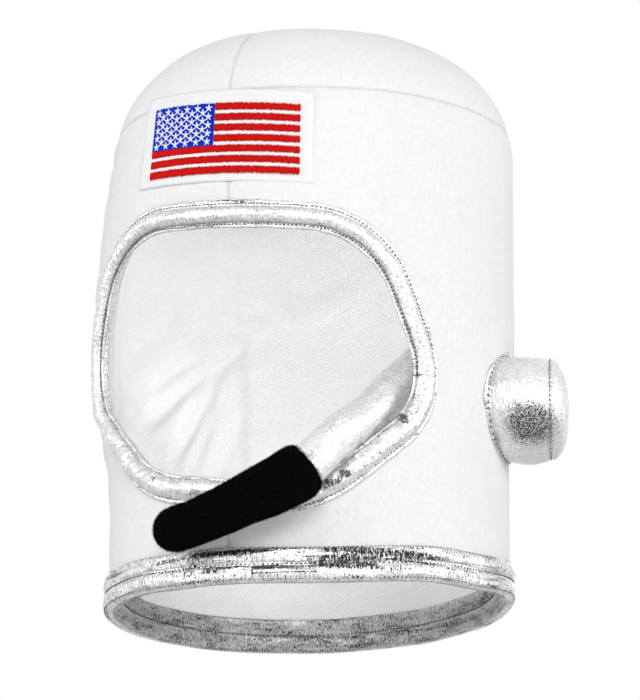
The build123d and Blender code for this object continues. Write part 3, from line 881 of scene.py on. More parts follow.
trim = {
    "centreLift": -0.5,
    # the strip's fullness at each height, for its upper part and for the part below its joint
    "rollRadius": ((40, 5.7), (70, 6.2), (100, 5.7), (118, 4.8), (190, 4.6)),
    "rollShift": ((40, 0.4), (70, 1.0), (100, 0.5), (118, 0.0), (190, 0.0)),
    "rollAround": 30,
    "jointPlace": (98.6, 106.0),
    "crushRise": 0.6,
    "flangeInner": 4.2,
    "flangeWidth": 3.3,
    "flangeLift": 0.2,
    "flangeThickness": 0.9,
    "lipInner": 4.1,
    "lipWidth": 2.7,
    "lipThickness": 1.2,
    "stitchPitch": 2.1,
    # painted dark reflections, and painted shade at the joint, as (across, height, half width, half height,
    # strength)
    "paintedShade": (
        (97.4, 105.0, 3.6, 0.9, 1.0),
        (94.6, 107.5, 2.2, 2.2, 0.9),
        (88.3, 82.6, 3.2, 2.2, 1.0),
        (89.5, 79.0, 2.2, 2.6, 0.9),
        (59.0, 50.5, 4.2, 3.0, 1.0),
        (53.0, 46.0, 5.0, 2.2, 0.9),
        (47.0, 43.0, 6.0, 2.0, 0.9),
        (74.0, 62.0, 3.0, 2.4, 0.5),
        (66.0, 56.0, 5.0, 2.4, 0.45),
        (80.0, 70.0, 4.0, 3.0, 0.4),
        (-41.6, 55.2, 3.0, 3.0, 0.8),
        (-98.6, 161.1, 5.0, 5.0, 0.55),
        (-107.0, 150.0, 4.0, 5.0, 0.5),
        (-119.0, 131.0, 5.0, 1.4, 0.6),
        (-117.0, 112.3, 5.0, 1.6, 0.6),
        (-85.6, 89.7, 5.0, 2.0, 0.4),
        (-58.0, 60.0, 6.0, 2.0, 0.4),
    ),
    "ribs": ((0.2, 1.5, 11),),
    "creases": ((1.0, 7.0, 12), (0.6, 3.2, 13)),
    "stitchLean": 0.15,
    "crushTop": 115.0,
    "crushSpan": 60.0,
    "leastCrush": 0.45,
    "moreCrush": 1.1,
    # the strip's end: pinched at its joint and bunched up beside it, in steps along the roll
    "pinchDepth": 0.07,
    "pinchWidth": 1.6,
    "bunchRise": 0.03,
    "bunchAt": 5,
    "bunchWidth": 3.0,
    "sideDent": 0.9,
    "sideDentWidth": 0.22,
    "flatness": 0.98,
}
jointAt = min(range(trimSteps), key=lambda index: (trimPlaces[index] - Vector(trim["jointPlace"])).length)


# How crushed the strip is: most from its joint down round the foot of the opening
def crushAt(index):
    low = easeStep((trim["crushTop"] - trimPlaces[index].y) / trim["crushSpan"])
    return trim["leastCrush"] + trim["moreCrush"] * low


def trimPoint(index, sideways, lift):
    sideways += valueAlong(trim["rollShift"], trimPlaces[index].y)
    flat = trimPlaces[index] + trimOutward[index] * sideways
    return onShell(flat.x, flat.y, lift)


def makeTrimRoll():
    rings = []
    for index in range(trimSteps):
        along = trimLength * index / trimSteps
        gap = min((index - jointAt) % trimSteps, (jointAt - index) % trimSteps)
        pinch = 1.0 - trim["pinchDepth"] * bell(gap, trim["pinchWidth"])
        pinch += trim["bunchRise"] * bell(gap - trim["bunchAt"], trim["bunchWidth"])
        radius = valueAlong(trim["rollRadius"], trimPlaces[index].y) * pinch
        crush = trim["crushRise"] * crushAt(index)
        ring = []
        for step in range(trim["rollAround"]):
            turn = fullTurn * step / trim["rollAround"]
            sideways, upward = math.cos(turn), math.sin(turn)
            reach = radius + cloudSum((along, sideways * 1.6, upward * 1.6), trim["ribs"])
            reach += crush * cloudSum((along, sideways * 5.0, upward * 5.0), trim["creases"])
            reach -= trim["sideDent"] * bell(upward, trim["sideDentWidth"])
            lift = trim["centreLift"] + reach * upward * trim["flatness"]
            ring.append(trimPoint(index, reach * sideways, lift))
        rings.append(ring)
    return sweepPiece("face_trim_roll", rings, silver["trimSilver"], closedAlong=True)


def makeTrimStrip(name, corners, seed, waviness):
    rings = []
    for index in range(trimSteps):
        along = trimLength * index / trimSteps
        ring = []
        for sideways, lift, loose in corners:
            flutter = waviness * loose * seedCloud((along, sideways, 0), 6.0, seed)
            ripple = 0.18 * loose * seedCloud((along, sideways * 0.4, 0), 1.6, seed + 1)
            ring.append(trimPoint(index, sideways + 0.5 * flutter, lift + ripple + 0.4 * flutter))
        rings.append(ring)
    return sweepPiece(name, rings, silver["edgeSilver"], closedAlong=True)


# Corners of a strip's section, each as (sideways, lift, looseness)
def flangeCorners():
    inner, width = trim["flangeInner"], trim["flangeWidth"]
    low, high = trim["flangeLift"], trim["flangeLift"] + trim["flangeThickness"]
    outerEdge = inner + width
    return [
        (inner, low, 0.0),
        (inner, high * 0.8, 0.0),
        (inner + width * 0.22, high * 0.55, 0.1),
        (inner + width * 0.45, high, 0.5),
        (inner + width * 0.75, high * 1.15, 1.0),
        (outerEdge - 0.25, high * 0.95, 1.0),
        (outerEdge, (low + high) / 2, 1.0),
        (outerEdge - 0.3, low, 0.8),
        (inner + width * 0.5, low, 0.2),
    ]


def lipCorners():
    inner, width = -trim["lipInner"], trim["lipWidth"]
    middle, half = trim["centreLift"], trim["lipThickness"] / 2
    edge = inner - width
    return [
        (inner, middle - half, 0.0),
        (inner - width * 0.5, middle - half * 1.1, 0.4),
        (edge + 0.4, middle - half, 0.9),
        (edge, middle, 1.0),
        (edge + 0.4, middle + half, 0.9),
        (inner - width * 0.5, middle + half * 1.1, 0.4),
        (inner - width * 0.15, middle + half * 0.6, 0.1),
        (inner, middle + half, 0.0),
    ]


trimRoll = makeTrimRoll()
trimFlange = makeTrimStrip("face_trim_edge", flangeCorners(), 21, 0.9)
trimLip = makeTrimStrip("face_trim_binding", lipCorners(), 24, 0.7)
for piece, nodes in (
    (trimRoll, ("face_trim_sleeve", "face_trim_filler")),
    (trimFlange, ("face_trim_flange",)),
    (trimLip, ("face_trim_lip",)),
):
    paintShadePlaces(piece, trim["paintedShade"])
    fitPiece(piece, "helmet", "silver_lame", *nodes)
print("face trim made")


# Neck band: one strip wrapped round the rim and quilted into ridges

neck = {
    "ridgeHeight": 8.6,
    "bulge": 2.1,
    "crease": 1.1,
    "steps": 900,
    "wallGap": 0.15,
    "jointOutside": math.radians(7.4),
    "jointInside": math.radians(182.0),
    "crush": 0.45,
    "ribs": 0.22,
    # painted dark reflections, and painted shade along the crease between the ridges and along the band's
    # top, as (across, height, half width, half height, strength)
    "paintedShadeOutside": (
        (-12.0, 12.0, 34.0, 2.2, 1.0),
        (82.0, 12.2, 39.0, 3.0, 1.0),
        (58.0, 5.0, 19.0, 3.4, 1.0),
        (95.0, 4.0, 26.0, 1.8, 0.5),
        (-22.0, 3.6, 26.0, 1.8, 0.6),
        (20.0, 12.0, 30.0, 1.3, 0.4),
        (-75.0, 11.8, 34.0, 1.6, 0.5),
        (-80.0, 3.4, 32.0, 1.8, 0.4),
        (150.0, 11.0, 30.0, 1.8, 0.5),
        (45.0, 8.6, 300.0, 0.8, 0.6),
        (45.0, 17.4, 300.0, 0.7, 0.6),
    ),
    "paintedShadeInside": (
        (-330.0, 9.0, 110.0, 1.6, 0.8),
        (-290.0, 4.5, 40.0, 2.4, 0.7),
        (280.0, 4.0, 30.0, 2.4, 0.5),
        (-240.0, 13.0, 50.0, 2.0, 0.6),
        (0.0, 17.4, 400.0, 0.9, 0.9),
    ),
    # painted shade at the lap's two ends and along its foot, as (across, height, half width, half height,
    # strength)
    "lapPaintedShade": ((14.0, 4.0, 1.0, 4.0, 1.0), (46.0, 4.0, 1.0, 4.0, 0.7), (30.0, 0.8, 40.0, 0.8, 0.9)),
    # the strip's joint, a small step round the band
    "stepDepth": 0.5,
    "stepWidth": 0.8,
    "sag": 0.5,
    "sagSize": 24.0,
    "lowest": -0.6,
    # where the strip's end laps over itself, as a flat tab on the lower ridge
    "laps": {
        "neck_band_lap_outside": {"start": 14.0, "end": 46.0, "low": 0.6, "high": 7.6, "seed": 91},
        "neck_band_lap_inside": {"start": -345.0, "end": -318.0, "low": 0.8, "high": 7.8, "seed": 94},
    },
    "lapColumns": 48,
    "lapRows": 14,
    "stitchPitch": 2.3,
}


# The way out of the wall and the lift of its face, on either side
def neckSide(outside):
    if outside:
        return 1.0, neck["wallGap"]
    return -1.0, -shell["liningInside"] - neck["wallGap"]


# The band's section, each corner as (lift, height, looseness): two ridges, and a fold under the rim
def neckSection(outside):
    ridge = neck["ridgeHeight"]
    way, face = neckSide(outside)
    middle = -shell["liningInside"] / 2
    section = []
    arcSteps = 9
    for level in (1, 0):
        for step in range(arcSteps + (0 if level else 1)):
            turn = math.pi * step / arcSteps
            bulge = neck["bulge"] * math.sin(turn) ** 0.6 if 0 < step < arcSteps else 0.0
            joined = step > arcSteps / 2 if level else step < arcSteps / 2
            bulge = max(bulge, neck["crease"]) if joined else bulge
            height = ridge * (level + 0.5 + 0.5 * math.cos(turn))
            cover = 0.4 if step == 0 else 0.15
            section.append((face + way * (bulge + cover), height, bulge / neck["bulge"]))
    return section + [
        (middle + way * 2.2, -0.1, 0.1),
        (middle + way * 0.08, 0.2, 0.0),
        (middle + way * 0.08, 2.6, 0.0),
        (face - way * 0.05, 2.75, 0.0),
        (face - way * 0.05, 2 * ridge, 0.0),
    ]


def makeNeckBand(side, finish, jointTurn, seed):
    outside = side == "outside"
    section = neckSection(outside)
    way = neckSide(outside)[0]
    rings = []
    for index in range(neck["steps"]):
        turn = fullTurn * index / neck["steps"]
        across = turn * shell["radius"]
        if across > halfRound:
            across -= 2 * halfRound
        gap = abs((turn - jointTurn + math.pi) % fullTurn - math.pi) * shell["radius"]
        step = neck["stepDepth"] * bell(gap, neck["stepWidth"])
        x, y = math.cos(turn) * shell["radius"], math.sin(turn) * shell["radius"]
        sag = neck["sag"] * seedCloud((x, y, 0), neck["sagSize"], seed + 3)
        ring = []
        for lift, height, loose in section:
            ribs = seedCloud((x, y, height * 0.3), 1.7, seed)
            creases = seedCloud((x * 0.5, y * 0.5, height), 5.0, seed + 1)
            creases += 0.7 * seedCloud((x, y, height), 3.0, seed + 2)
            move = loose * (neck["ribs"] * ribs + neck["crush"] * creases - step)
            ring.append(onShell(across, max(height + sag * loose, neck["lowest"]), lift + way * move))
        rings.append(ring)
    band = sweepPiece("neck_band_" + side, rings, finish, closedAlong=True)
    name = "outer" if outside else "inner"
    nodes = [f"neck_{name}_{level}_{part}" for level in ("upper", "lower") for part in ("cover", "wadding")]
    fitPiece(band, "helmet", "silver_lame", *nodes)
    paintShadePlaces(band, neck["paintedShadeOutside" if outside else "paintedShadeInside"])


def makeLap(name, lap):
    columns, rows = neck["lapColumns"], neck["lapRows"]
    outside = name.endswith("outside")
    way, face = neckSide(outside)
    outer, inner, flat = [], [], []
    for row in range(rows + 1):
        for column in range(columns + 1):
            across = lap["start"] + (lap["end"] - lap["start"]) * column / columns
            height = lap["low"] + (lap["high"] - lap["low"]) * row / rows
            height += 0.25 * seedCloud((across, height * 0.2, 0), 5.0, lap["seed"])
            share = min(max(height / neck["ridgeHeight"], 0.02), 0.98)
            bulge = neck["bulge"] * math.sin(math.pi * share) ** 0.8
            wrinkle = 0.25 * seedCloud((across, height, 0), 3.5, lap["seed"] + 1)
            outer.append(onShell(across, height, face + way * (bulge + 1.0 + wrinkle)))
            inner.append(onShell(across, height, face + way * (bulge + 0.1)))
            flat.append((across, height))
    finish = silver["bandSilver" if outside else "bandSilverShaded"]
    piece = closedPanel(name, outer, inner, gridQuads(columns, rows), flat, finish)
    paintShadePlaces(piece, neck["lapPaintedShade"])
    fitPiece(piece, "helmet", "silver_lame")


makeNeckBand("outside", silver["bandSilver"], neck["jointOutside"], 31)
makeNeckBand("inside", silver["bandSilverShaded"], neck["jointInside"], 36)
for lapName, lapSizes in neck["laps"].items():
    makeLap(lapName, lapSizes)
print("neck band made")


# Ear knob

ear = {
    "angle": math.radians(97.0),
    "height": 101.8,
    "lean": 0.16,
    "turnBack": math.radians(13.0),
    "baseRadius": 25.6,
    "bandRadius": 28.4,
    "seamRadius": 25.9,
    "bandLength": 22.8,
    "bandSteps": 22,
    "capRise": 10.4,
    "capSteps": 18,
    "capOver": 0.35,
    "rootDepth": 3.6,
    "around": 96,
    "settleCap": 1.6,
    # gathers at the seam and at the foot, as (rise, how far they reach along the knob, seed)
    "seamGather": (0.55, 3.5, 41),
    "footGather": (0.9, 5.0, 42),
    "dents": ((0.7, 16.0, 43), (0.25, 6.0, 44)),
    "pullDepth": 1.1,
    "pullWidth": 0.9,
    "flangeSteps": 220,
    "flangeReach": 4.2,
    "flangeWave": 1.1,
    # one corner of the seam's edge sticks out
    "cornerReach": 2.2,
    "cornerTurn": 1.7,
    "cornerWidth": 0.16,
    "ruffle": 0.55,
    # the edge's section, each corner as (share of its reach, lift, looseness)
    "flangeCorners": (
        (0.0, 0.1, 0.0), (0.0, 1.6, 0.0), (0.25, 0.95, 0.3), (0.5, 1.25, 0.6),
        (0.8, 1.3, 1.0), (1.0, 0.8, 1.0), (0.9, 0.1, 0.4),
    ),
    "seamStitches": 64,
    "flangeStitches": 52,
}
earAcross = ear["angle"] * shell["radius"]
earCentre = onShell(earAcross, ear["height"], 0.0)
upright = Vector((0, 0, 1))
earStraight = Vector((math.sin(ear["angle"]), -math.cos(ear["angle"]), 0))
earSideways = upright.cross(earStraight)
earOutward = (earStraight + earSideways * ear["lean"]).normalized()


# The knob's outline, as (distance from the wall, radius)
def earOutline():
    points = []
    length = ear["bandLength"]
    base, seam = ear["baseRadius"], ear["seamRadius"]
    for step in range(ear["bandSteps"] + 1):
        share = step / ear["bandSteps"]
        swell = math.sin(math.pi * share) ** 0.9 if 0 < share < 1 else 0.0
        reach = base + (seam - base) * share + (ear["bandRadius"] - (base + seam) / 2) * swell
        points.append((-ear["rootDepth"] + (length + ear["rootDepth"]) * share, reach))
    for step in range(1, ear["capSteps"]):
        turn = math.pi / 2 * step / ear["capSteps"]
        reach = (seam + ear["capOver"]) * math.cos(turn) ** 0.85
        points.append((length + ear["capRise"] * math.sin(turn), reach))
    return points


# The knob sags back a little, so its rings turn towards the back along its length
def knobSideways(distance):
    turn = ear["turnBack"] * easeStep(distance / ear["bandLength"])
    return earSideways * math.cos(turn) - earStraight * math.sin(turn)


def makeEarKnob():
    seamRise, seamReach, seamSeed = ear["seamGather"]
    footRise, footReach, footSeed = ear["footGather"]
    rings = []
    for distance, reach in earOutline():
        seamNear = abs(distance - ear["bandLength"])
        seamShare = seamRise * math.exp(-seamNear / seamReach)
        footShare = footRise * math.exp(-(distance + ear["rootDepth"]) / footReach)
        pull = ear["pullDepth"] * bell(seamNear, ear["pullWidth"])
        sideways = knobSideways(distance)
        ring = []
        for step in range(ear["around"]):
            spin = fullTurn * step / ear["around"]
            radial = sideways * math.cos(spin) + upright * math.sin(spin)
            place = radial * reach + earOutward * distance
            rise = seamShare * seedCloud((spin * 14.0, 0, distance * 0.1), 1.0, seamSeed)
            rise += footShare * seedCloud((spin * 9.0, 0, 0), 1.0, footSeed)
            rise += cloudSum(place, ear["dents"]) - pull
            ring.append(earCentre + earOutward * distance + radial * (reach + rise))
        rings.append(ring)
    knob = sweepPiece("ear_knob", rings, silver["knobSilver"], closedAlong=False)
    fitPiece(knob, "helmet", "silver_lame", "ear_band", "ear_cap", "ear_stuffing")
    settlePadding(knob, ear["settleCap"])


def makeEarFlange():
    rings = []
    for index in range(ear["flangeSteps"]):
        spin = fullTurn * index / ear["flangeSteps"]
        reachOut = ear["flangeReach"] + ear["flangeWave"] * seedCloud((spin * 6.0, 0, 0), 2.2, 45)
        reachOut += ear["cornerReach"] * bell(spin - ear["cornerTurn"], ear["cornerWidth"])
        ring = []
        for share, lift, loose in ear["flangeCorners"]:
            reach = ear["baseRadius"] - 0.4 + reachOut * share * 1.6
            reach *= 1.0 - 0.11 * share * abs(math.sin(spin))
            ruffle = loose * ear["ruffle"] * seedCloud((spin * 30.0, share, 0), 1.7, 46)
            across, height = earAcross - reach * math.cos(spin), ear["height"] + reach * math.sin(spin)
            ring.append(onShell(across, height, lift + max(ruffle, -0.3)))
        rings.append(ring)
    flange = sweepPiece("ear_seam_edge", rings, silver["edgeSilver"], closedAlong=True)
    fitPiece(flange, "helmet", "silver_lame", "ear_flange")


# Stitches round the knob's seam and round the edge on the wall
def earStitchPlaces():
    places = []
    sideways = knobSideways(ear["bandLength"])
    for stitch in range(ear["seamStitches"]):
        spin = fullTurn * (stitch + 0.5) / ear["seamStitches"]
        radial = sideways * math.cos(spin) + upright * math.sin(spin)
        along = upright * math.cos(spin) - sideways * math.sin(spin)
        point = earCentre + earOutward * ear["bandLength"] + radial * (ear["seamRadius"] - 0.1)
        places.append((point, along, radial, 1.0))
    for stitch in range(ear["flangeStitches"]):
        spin = fullTurn * (stitch + 0.5) / ear["flangeStitches"]
        reach = ear["baseRadius"] + 2.6
        point = onShell(earAcross - reach * math.cos(spin), ear["height"] + reach * math.sin(spin), 1.5)
        along = (upright * math.cos(spin) + earSideways * math.sin(spin)).normalized()
        places.append((point, along, earStraight, 1.0))
    return places


makeEarKnob()
makeEarFlange()
print("ear knob made")


# Microphone boom

boom = {
    "micRadius": 15.0,
    "stations": (
        (83.6, 0.779, 1.290, 0.80),
        (68.9, 0.762, 1.143, 0.80),
        (54.1, 0.785, 0.978, 0.77),
        (41.3, 0.875, 0.815, 0.72),
        (30.2, 1.035, 0.665, 0.70),
        (21.8, 1.165, 0.482, 0.71),
        (14.5, 1.185, 0.388, 0.72),
    ),
    "micStations": (
        (20.3, 1.168, 0.452, 0.91),
        (14.5, 1.185, 0.383, 0.87),
        (6.4, 1.178, 0.316, 0.78),
        (-2.7, 1.165, 0.255, 0.73),
        (-10.2, 1.154, 0.226, 0.71),
    ),
    "stepsBetween": 26,
    "around": 44,
    "domeSteps": 9,
    "cuffTurn": math.radians(50.0),
    "cuffSteps": 6,
    "cuffDepth": 0.8,
    "settleCap": 0.5,
    # the sleeve's folds, each as (distance along it, lean, depth)
    "foldWidth": 1.6,
    "sleeveFolds": ((104.0, 5.0, 0.9), (113.0, -4.0, 0.7), (88.0, 6.0, 0.45), (70.0, -5.0, 0.4)),
    "sleeveClouds": ((0.45, 15.0, 52),),
    "fleeceClouds": ((0.55, 13.0, 56), (0.22, 4.0, 57)),
    # the root's sewn tab, each ring as (lift off the lining, radius)
    "rootRings": ((0.0, 10.4), (0.0, 11.0), (0.9, 11.2), (1.9, 10.6), (1.9, 7.0)),
    "rootSteps": 60,
    "rootSway": 0.03,
}
domeTurns = [math.pi / 2 * step / boom["domeSteps"] for step in range(1, boom["domeSteps"])]
cuffTurns = [boom["cuffTurn"] * step / boom["cuffSteps"] for step in range(1, boom["cuffSteps"] + 1)]


# A smooth row of values through those given, with a number of steps between each two
def smoothRow(values, steps):
    row = []
    last = len(values) - 1
    for index in range(last):
        before, start = values[max(index - 1, 0)], values[index]
        end, after = values[index + 1], values[min(index + 2, last)]
        for step in range(steps):
            share = step / steps
            slope = (end - before) * share
            bendIn = (before * 2 - start * 5 + end * 4 - after) * share**2
            bendOut = (start * 3 - before - end * 3 + after) * share**3
            row.append((start * 2 + slope + bendIn + bendOut) * 0.5)
    return row + [values[last]]


# Rounds an end off: a whole dome, or a cuff that turns in part of the way
def roundEnd(rows, turns, depth, atStart):
    centre, way, radius = rows[0 if atStart else -1]
    sign = -1.0 if atStart else 1.0
    for turn in turns:
        row = (centre + way * sign * radius * depth * math.sin(turn), way, radius * math.cos(turn))
        rows.insert(0 if atStart else len(rows), row)


# Each station is (degrees from the front, and shares of the shell's radius, the opening's side height
# and the microphone's radius)
def armRows(stations):
    centres, radii = [], []
    for angle, radiusShare, heightShare, girthShare in stations:
        turn = math.radians(angle)
        reach = shell["radius"] * radiusShare
        height = opening["sideHeight"] * heightShare
        centres.append(Vector((reach * math.sin(turn), -reach * math.cos(turn), height)))
        radii.append(boom["micRadius"] * girthShare)
    centres = smoothRow(centres, boom["stepsBetween"])
    radii = smoothRow(radii, boom["stepsBetween"])
    last = len(centres) - 1
    ways = [(centres[min(i + 1, last)] - centres[max(i - 1, 0)]).normalized() for i in range(last + 1)]
    return list(zip(centres, ways, radii))


def armRings(rows, relief):
    rings = []
    along = 0.0
    for index, (centre, way, radius) in enumerate(rows):
        if index:
            along += (centre - rows[index - 1][0]).length
        side = way.cross(Vector((centre.x, centre.y, 0)).normalized()).normalized()
        upward = side.cross(way)
        ring = []
        for step in range(boom["around"]):
            turn = fullTurn * step / boom["around"]
            spread = side * math.cos(turn) + upward * math.sin(turn)
            rise = relief(along, spread, centre + spread * radius)
            ring.append(centre + spread * (radius + rise))
        rings.append(ring)
    return rings


def sleeveRelief(along, spread, place):
    rise = 0.10 * seedCloud((along, spread.x, spread.z), 1.3, 51) + cloudSum(place, boom["sleeveClouds"])
    for at, lean, depth in boom["sleeveFolds"]:
        rise -= depth * bell(along - at - lean * spread.z, boom["foldWidth"]) * max(0.0, 0.3 - spread.z)
    return rise


def fleeceRelief(along, spread, place):
    return cloudSum(place, boom["fleeceClouds"])


def makeBoomRoot():
    angle, radiusShare, heightShare, girthShare = boom["stations"][0]
    height = opening["sideHeight"] * heightShare
    face = shell["radius"] - shell["liningInside"] - 0.1
    rings = []
    for lift, reach in boom["rootRings"]:
        ring = []
        for index in range(boom["rootSteps"]):
            spin = fullTurn * index / boom["rootSteps"]
            sway = reach * (1.0 + boom["rootSway"] * seedCloud((spin * 9.0, lift, 0), 1.5, 61))
            turn = math.radians(angle) + sway * math.cos(spin) / shell["radius"]
            wayOut = Vector((math.sin(turn), -math.cos(turn), 0))
            ring.append(wayOut * (face - lift) + upright * (height + sway * math.sin(spin)))
        rings.append(ring)
    root = sweepPiece("boom_root_tab", rings, silver["sleeveSilver"], closedAlong=False)
    fitPiece(root, "helmet", "silver_lame", "boom_anchor")


sleeveRows, fleeceRows = armRows(boom["stations"]), armRows(boom["micStations"])
roundEnd(sleeveRows, domeTurns, 1.0, atStart=True)
roundEnd(fleeceRows, domeTurns, 1.0, atStart=False)
roundEnd(fleeceRows, cuffTurns, boom["cuffDepth"], atStart=True)
sleeveRings, fleeceRings = armRings(sleeveRows, sleeveRelief), armRings(fleeceRows, fleeceRelief)
boomSleeve = sweepPiece("boom_sleeve_cloth", sleeveRings, silver["sleeveSilver"], closedAlong=False)
micCover = sweepPiece("mic_fleece", fleeceRings, fleeceFinish, closedAlong=False)
for piece, slotName, nodes, fill in (
    (boomSleeve, "silver_lame", ("boom_sleeve", "boom_stuffing"), 0.8),
    (micCover, "black_fleece", ("mic_cover", "mic_stuffing"), 0.9),
):
    fitPiece(piece, "mic_boom", slotName, *nodes)
    settlePadding(piece, boom["settleCap"])
makeBoomRoot()
print("boom made")


# Geometry Nodes: one thread form on every stitch place, and short pile on fleece

def newTree(name, inputs):
    tree = bpy.data.node_groups.new(name, "GeometryNodeTree")
    tree.interface.new_socket("Geometry", in_out="INPUT", socket_type="NodeSocketGeometry")
    tree.interface.new_socket("Geometry", in_out="OUTPUT", socket_type="NodeSocketGeometry")
    for label, kind, default in inputs:
        socket = tree.interface.new_socket(label, in_out="INPUT", socket_type="NodeSocket" + kind)
        if default is not None:
            socket.default_value = default
    return tree, tree.nodes.new("NodeGroupInput"), tree.nodes.new("NodeGroupOutput")


# A random value, or a random way, for each point
def randomOf(tree, low, high, seed, kind="VALUE"):
    node = addNode(tree, "FunctionNodeRandomValue", data_type="FLOAT" if kind == "VALUE" else "FLOAT_VECTOR")
    feed(tree, socketOf(node.inputs, kind, "Min"), low)
    feed(tree, socketOf(node.inputs, kind, "Max"), high)
    feed(tree, node.inputs["Seed"], seed)
    return socketOf(node.outputs, kind)


def attributeOf(tree, name, kind):
    node = addNode(tree, "GeometryNodeInputNamedAttribute", {"Name": name}, data_type=kind)
    return node.outputs["Attribute"]


# One form on every point, made real and painted, beside the mesh that it grows on if that is given
def growForm(tree, points, form, rotation, size, material, base=None):
    scale = tree.nodes.new("ShaderNodeCombineXYZ")
    place = tree.nodes.new("GeometryNodeInstanceOnPoints")
    real = tree.nodes.new("GeometryNodeRealizeInstances")
    paint = tree.nodes.new("GeometryNodeSetMaterial")
    for axis, value in zip("XYZ", size):
        feed(tree, scale.inputs[axis], value)
    grown = place.outputs["Instances"]
    if base is not None:
        joined = tree.nodes.new("GeometryNodeJoinGeometry")
        joinNodes(tree, (grown, joined.inputs["Geometry"]), (base, joined.inputs["Geometry"]))
        grown = joined.outputs["Geometry"]
    joinNodes(
        tree,
        (points, place.inputs["Points"]),
        (form, place.inputs["Instance"]),
        (rotation, place.inputs["Rotation"]),
        (scale.outputs["Vector"], place.inputs["Scale"]),
        (grown, real.inputs["Geometry"]),
        (real.outputs["Geometry"], paint.inputs["Geometry"]),
        (material, paint.inputs["Material"]),
    )
    return paint.outputs["Geometry"]


def stitchTree():
    tree, start, end = newTree("threadStitches", (
        ("Length", "Float", 0.002),
        ("Width", "Float", 0.0006),
        ("Height", "Float", 0.0005),
        ("Variation", "Float", 0.15),
        ("Seed", "Int", 1),
        ("Thread", "Material", None),
    ))
    given = start.outputs
    thread = addNode(tree, "GeometryNodeMeshUVSphere", {"Segments": 8, "Rings": 5, "Radius": 0.5})
    smooth = tree.nodes.new("GeometryNodeSetShadeSmooth")
    turn = addNode(tree, "FunctionNodeAxesToRotation", primary_axis="X", secondary_axis="Z")
    joinNodes(
        tree,
        (thread.outputs["Mesh"], smooth.inputs["Geometry"]),
        (attributeOf(tree, "threadAlong", "FLOAT_VECTOR"), turn.inputs[0]),
        (attributeOf(tree, "threadUp", "FLOAT_VECTOR"), turn.inputs[1]),
    )
    least = mathOf(tree, "SUBTRACT", 1.0, given["Variation"])
    most = mathOf(tree, "ADD", 1.0, given["Variation"])
    length = mathOf(tree, "MULTIPLY", given["Length"], randomOf(tree, least, most, given["Seed"]))
    length = mathOf(tree, "MULTIPLY", length, attributeOf(tree, "threadStretch", "FLOAT"))
    size = (length, given["Width"], given["Height"])
    form, rotation = smooth.outputs["Geometry"], turn.outputs["Rotation"]
    grown = growForm(tree, given["Geometry"], form, rotation, size, given["Thread"])
    joinNodes(tree, (grown, end.inputs["Geometry"]))
    return tree


def pileTree():
    tree, start, end = newTree("shortPile", (
        ("Density", "Float", 3000000.0),
        ("Length", "Float", 0.0012),
        ("Width", "Float", 0.00016),
        ("Lean", "Float", 0.6),
        ("Seed", "Int", 1),
        ("Fibre", "Material", None),
    ))
    given = start.outputs
    fibre = {"Vertices": 3, "Radius Top": 0.0, "Radius Bottom": 1.0, "Depth": 1.0}
    hair = addNode(tree, "GeometryNodeMeshCone", fibre, fill_type="NONE")
    scatter = addNode(tree, "GeometryNodeDistributePointsOnFaces", distribute_method="RANDOM")
    leaned = addNode(tree, "ShaderNodeVectorMath", operation="SCALE")
    tipped = addNode(tree, "ShaderNodeVectorMath", operation="ADD")
    turn = addNode(tree, "FunctionNodeAlignRotationToVector", axis="Z")
    anyWay = randomOf(tree, (-1.0, -1.0, -1.0), (1.0, 1.0, 1.0), given["Seed"], "VECTOR")
    joinNodes(
        tree,
        (given["Geometry"], scatter.inputs["Mesh"]),
        (given["Density"], scatter.inputs["Density"]),
        (given["Seed"], scatter.inputs["Seed"]),
        (anyWay, leaned.inputs[0]),
        (given["Lean"], leaned.inputs["Scale"]),
        (scatter.outputs["Normal"], tipped.inputs[0]),
        (leaned.outputs[0], tipped.inputs[1]),
        (tipped.outputs[0], turn.inputs["Vector"]),
    )
    length = mathOf(tree, "MULTIPLY", given["Length"], randomOf(tree, 0.55, 1.2, given["Seed"]))
    size = (given["Width"], given["Width"], length)
    points, form, rotation = scatter.outputs["Points"], hair.outputs["Mesh"], turn.outputs["Rotation"]
    grown = growForm(tree, points, form, rotation, size, given["Fibre"], base=given["Geometry"])
    joinNodes(tree, (grown, end.inputs["Geometry"]))
    return tree


def growWith(source, tree, values, name):
    modifier = source.modifiers.new("grow", "NODES")
    modifier.node_group = tree
    for item in tree.interface.items_tree:
        if item.in_out == "INPUT" and item.name in values:
            modifier[item.identifier] = values[item.name]
    bpy.context.view_layer.update()
    evaluated = source.evaluated_get(bpy.context.evaluated_depsgraph_get())
    mesh = bpy.data.meshes.new_from_object(evaluated)
    source.modifiers.remove(modifier)
    mesh.name = name
    return mesh


stitchMaker = stitchTree()
pileMaker = pileTree()


# Each stitch place is (point, way along, way up, stretch), and each size is (length, width, height)
def sewStitches(name, places, thread, slotName, size, variation, seed, *nodes):
    mesh = bpy.data.meshes.new(name + "Places")
    mesh.from_pydata([place[0] * mm for place in places], [], [])
    for label, column in (("threadAlong", 1), ("threadUp", 2)):
        layer = mesh.attributes.new(label, "FLOAT_VECTOR", "POINT")
        layer.data.foreach_set("vector", [value for place in places for value in place[column]])
    layer = mesh.attributes.new("threadStretch", "FLOAT", "POINT")
    layer.data.foreach_set("value", [place[3] for place in places])
    holder = linkPiece(name + "Places", mesh)
    values = dict(zip(("Length", "Width", "Height"), (side * mm for side in size)))
    values.update({"Variation": variation, "Seed": seed, "Thread": thread})
    piece = linkPiece(name, growWith(holder, stitchMaker, values, name))
    bpy.data.objects.remove(holder)
    bpy.data.meshes.remove(mesh)
    fitPiece(piece, "helmet", slotName, *nodes)


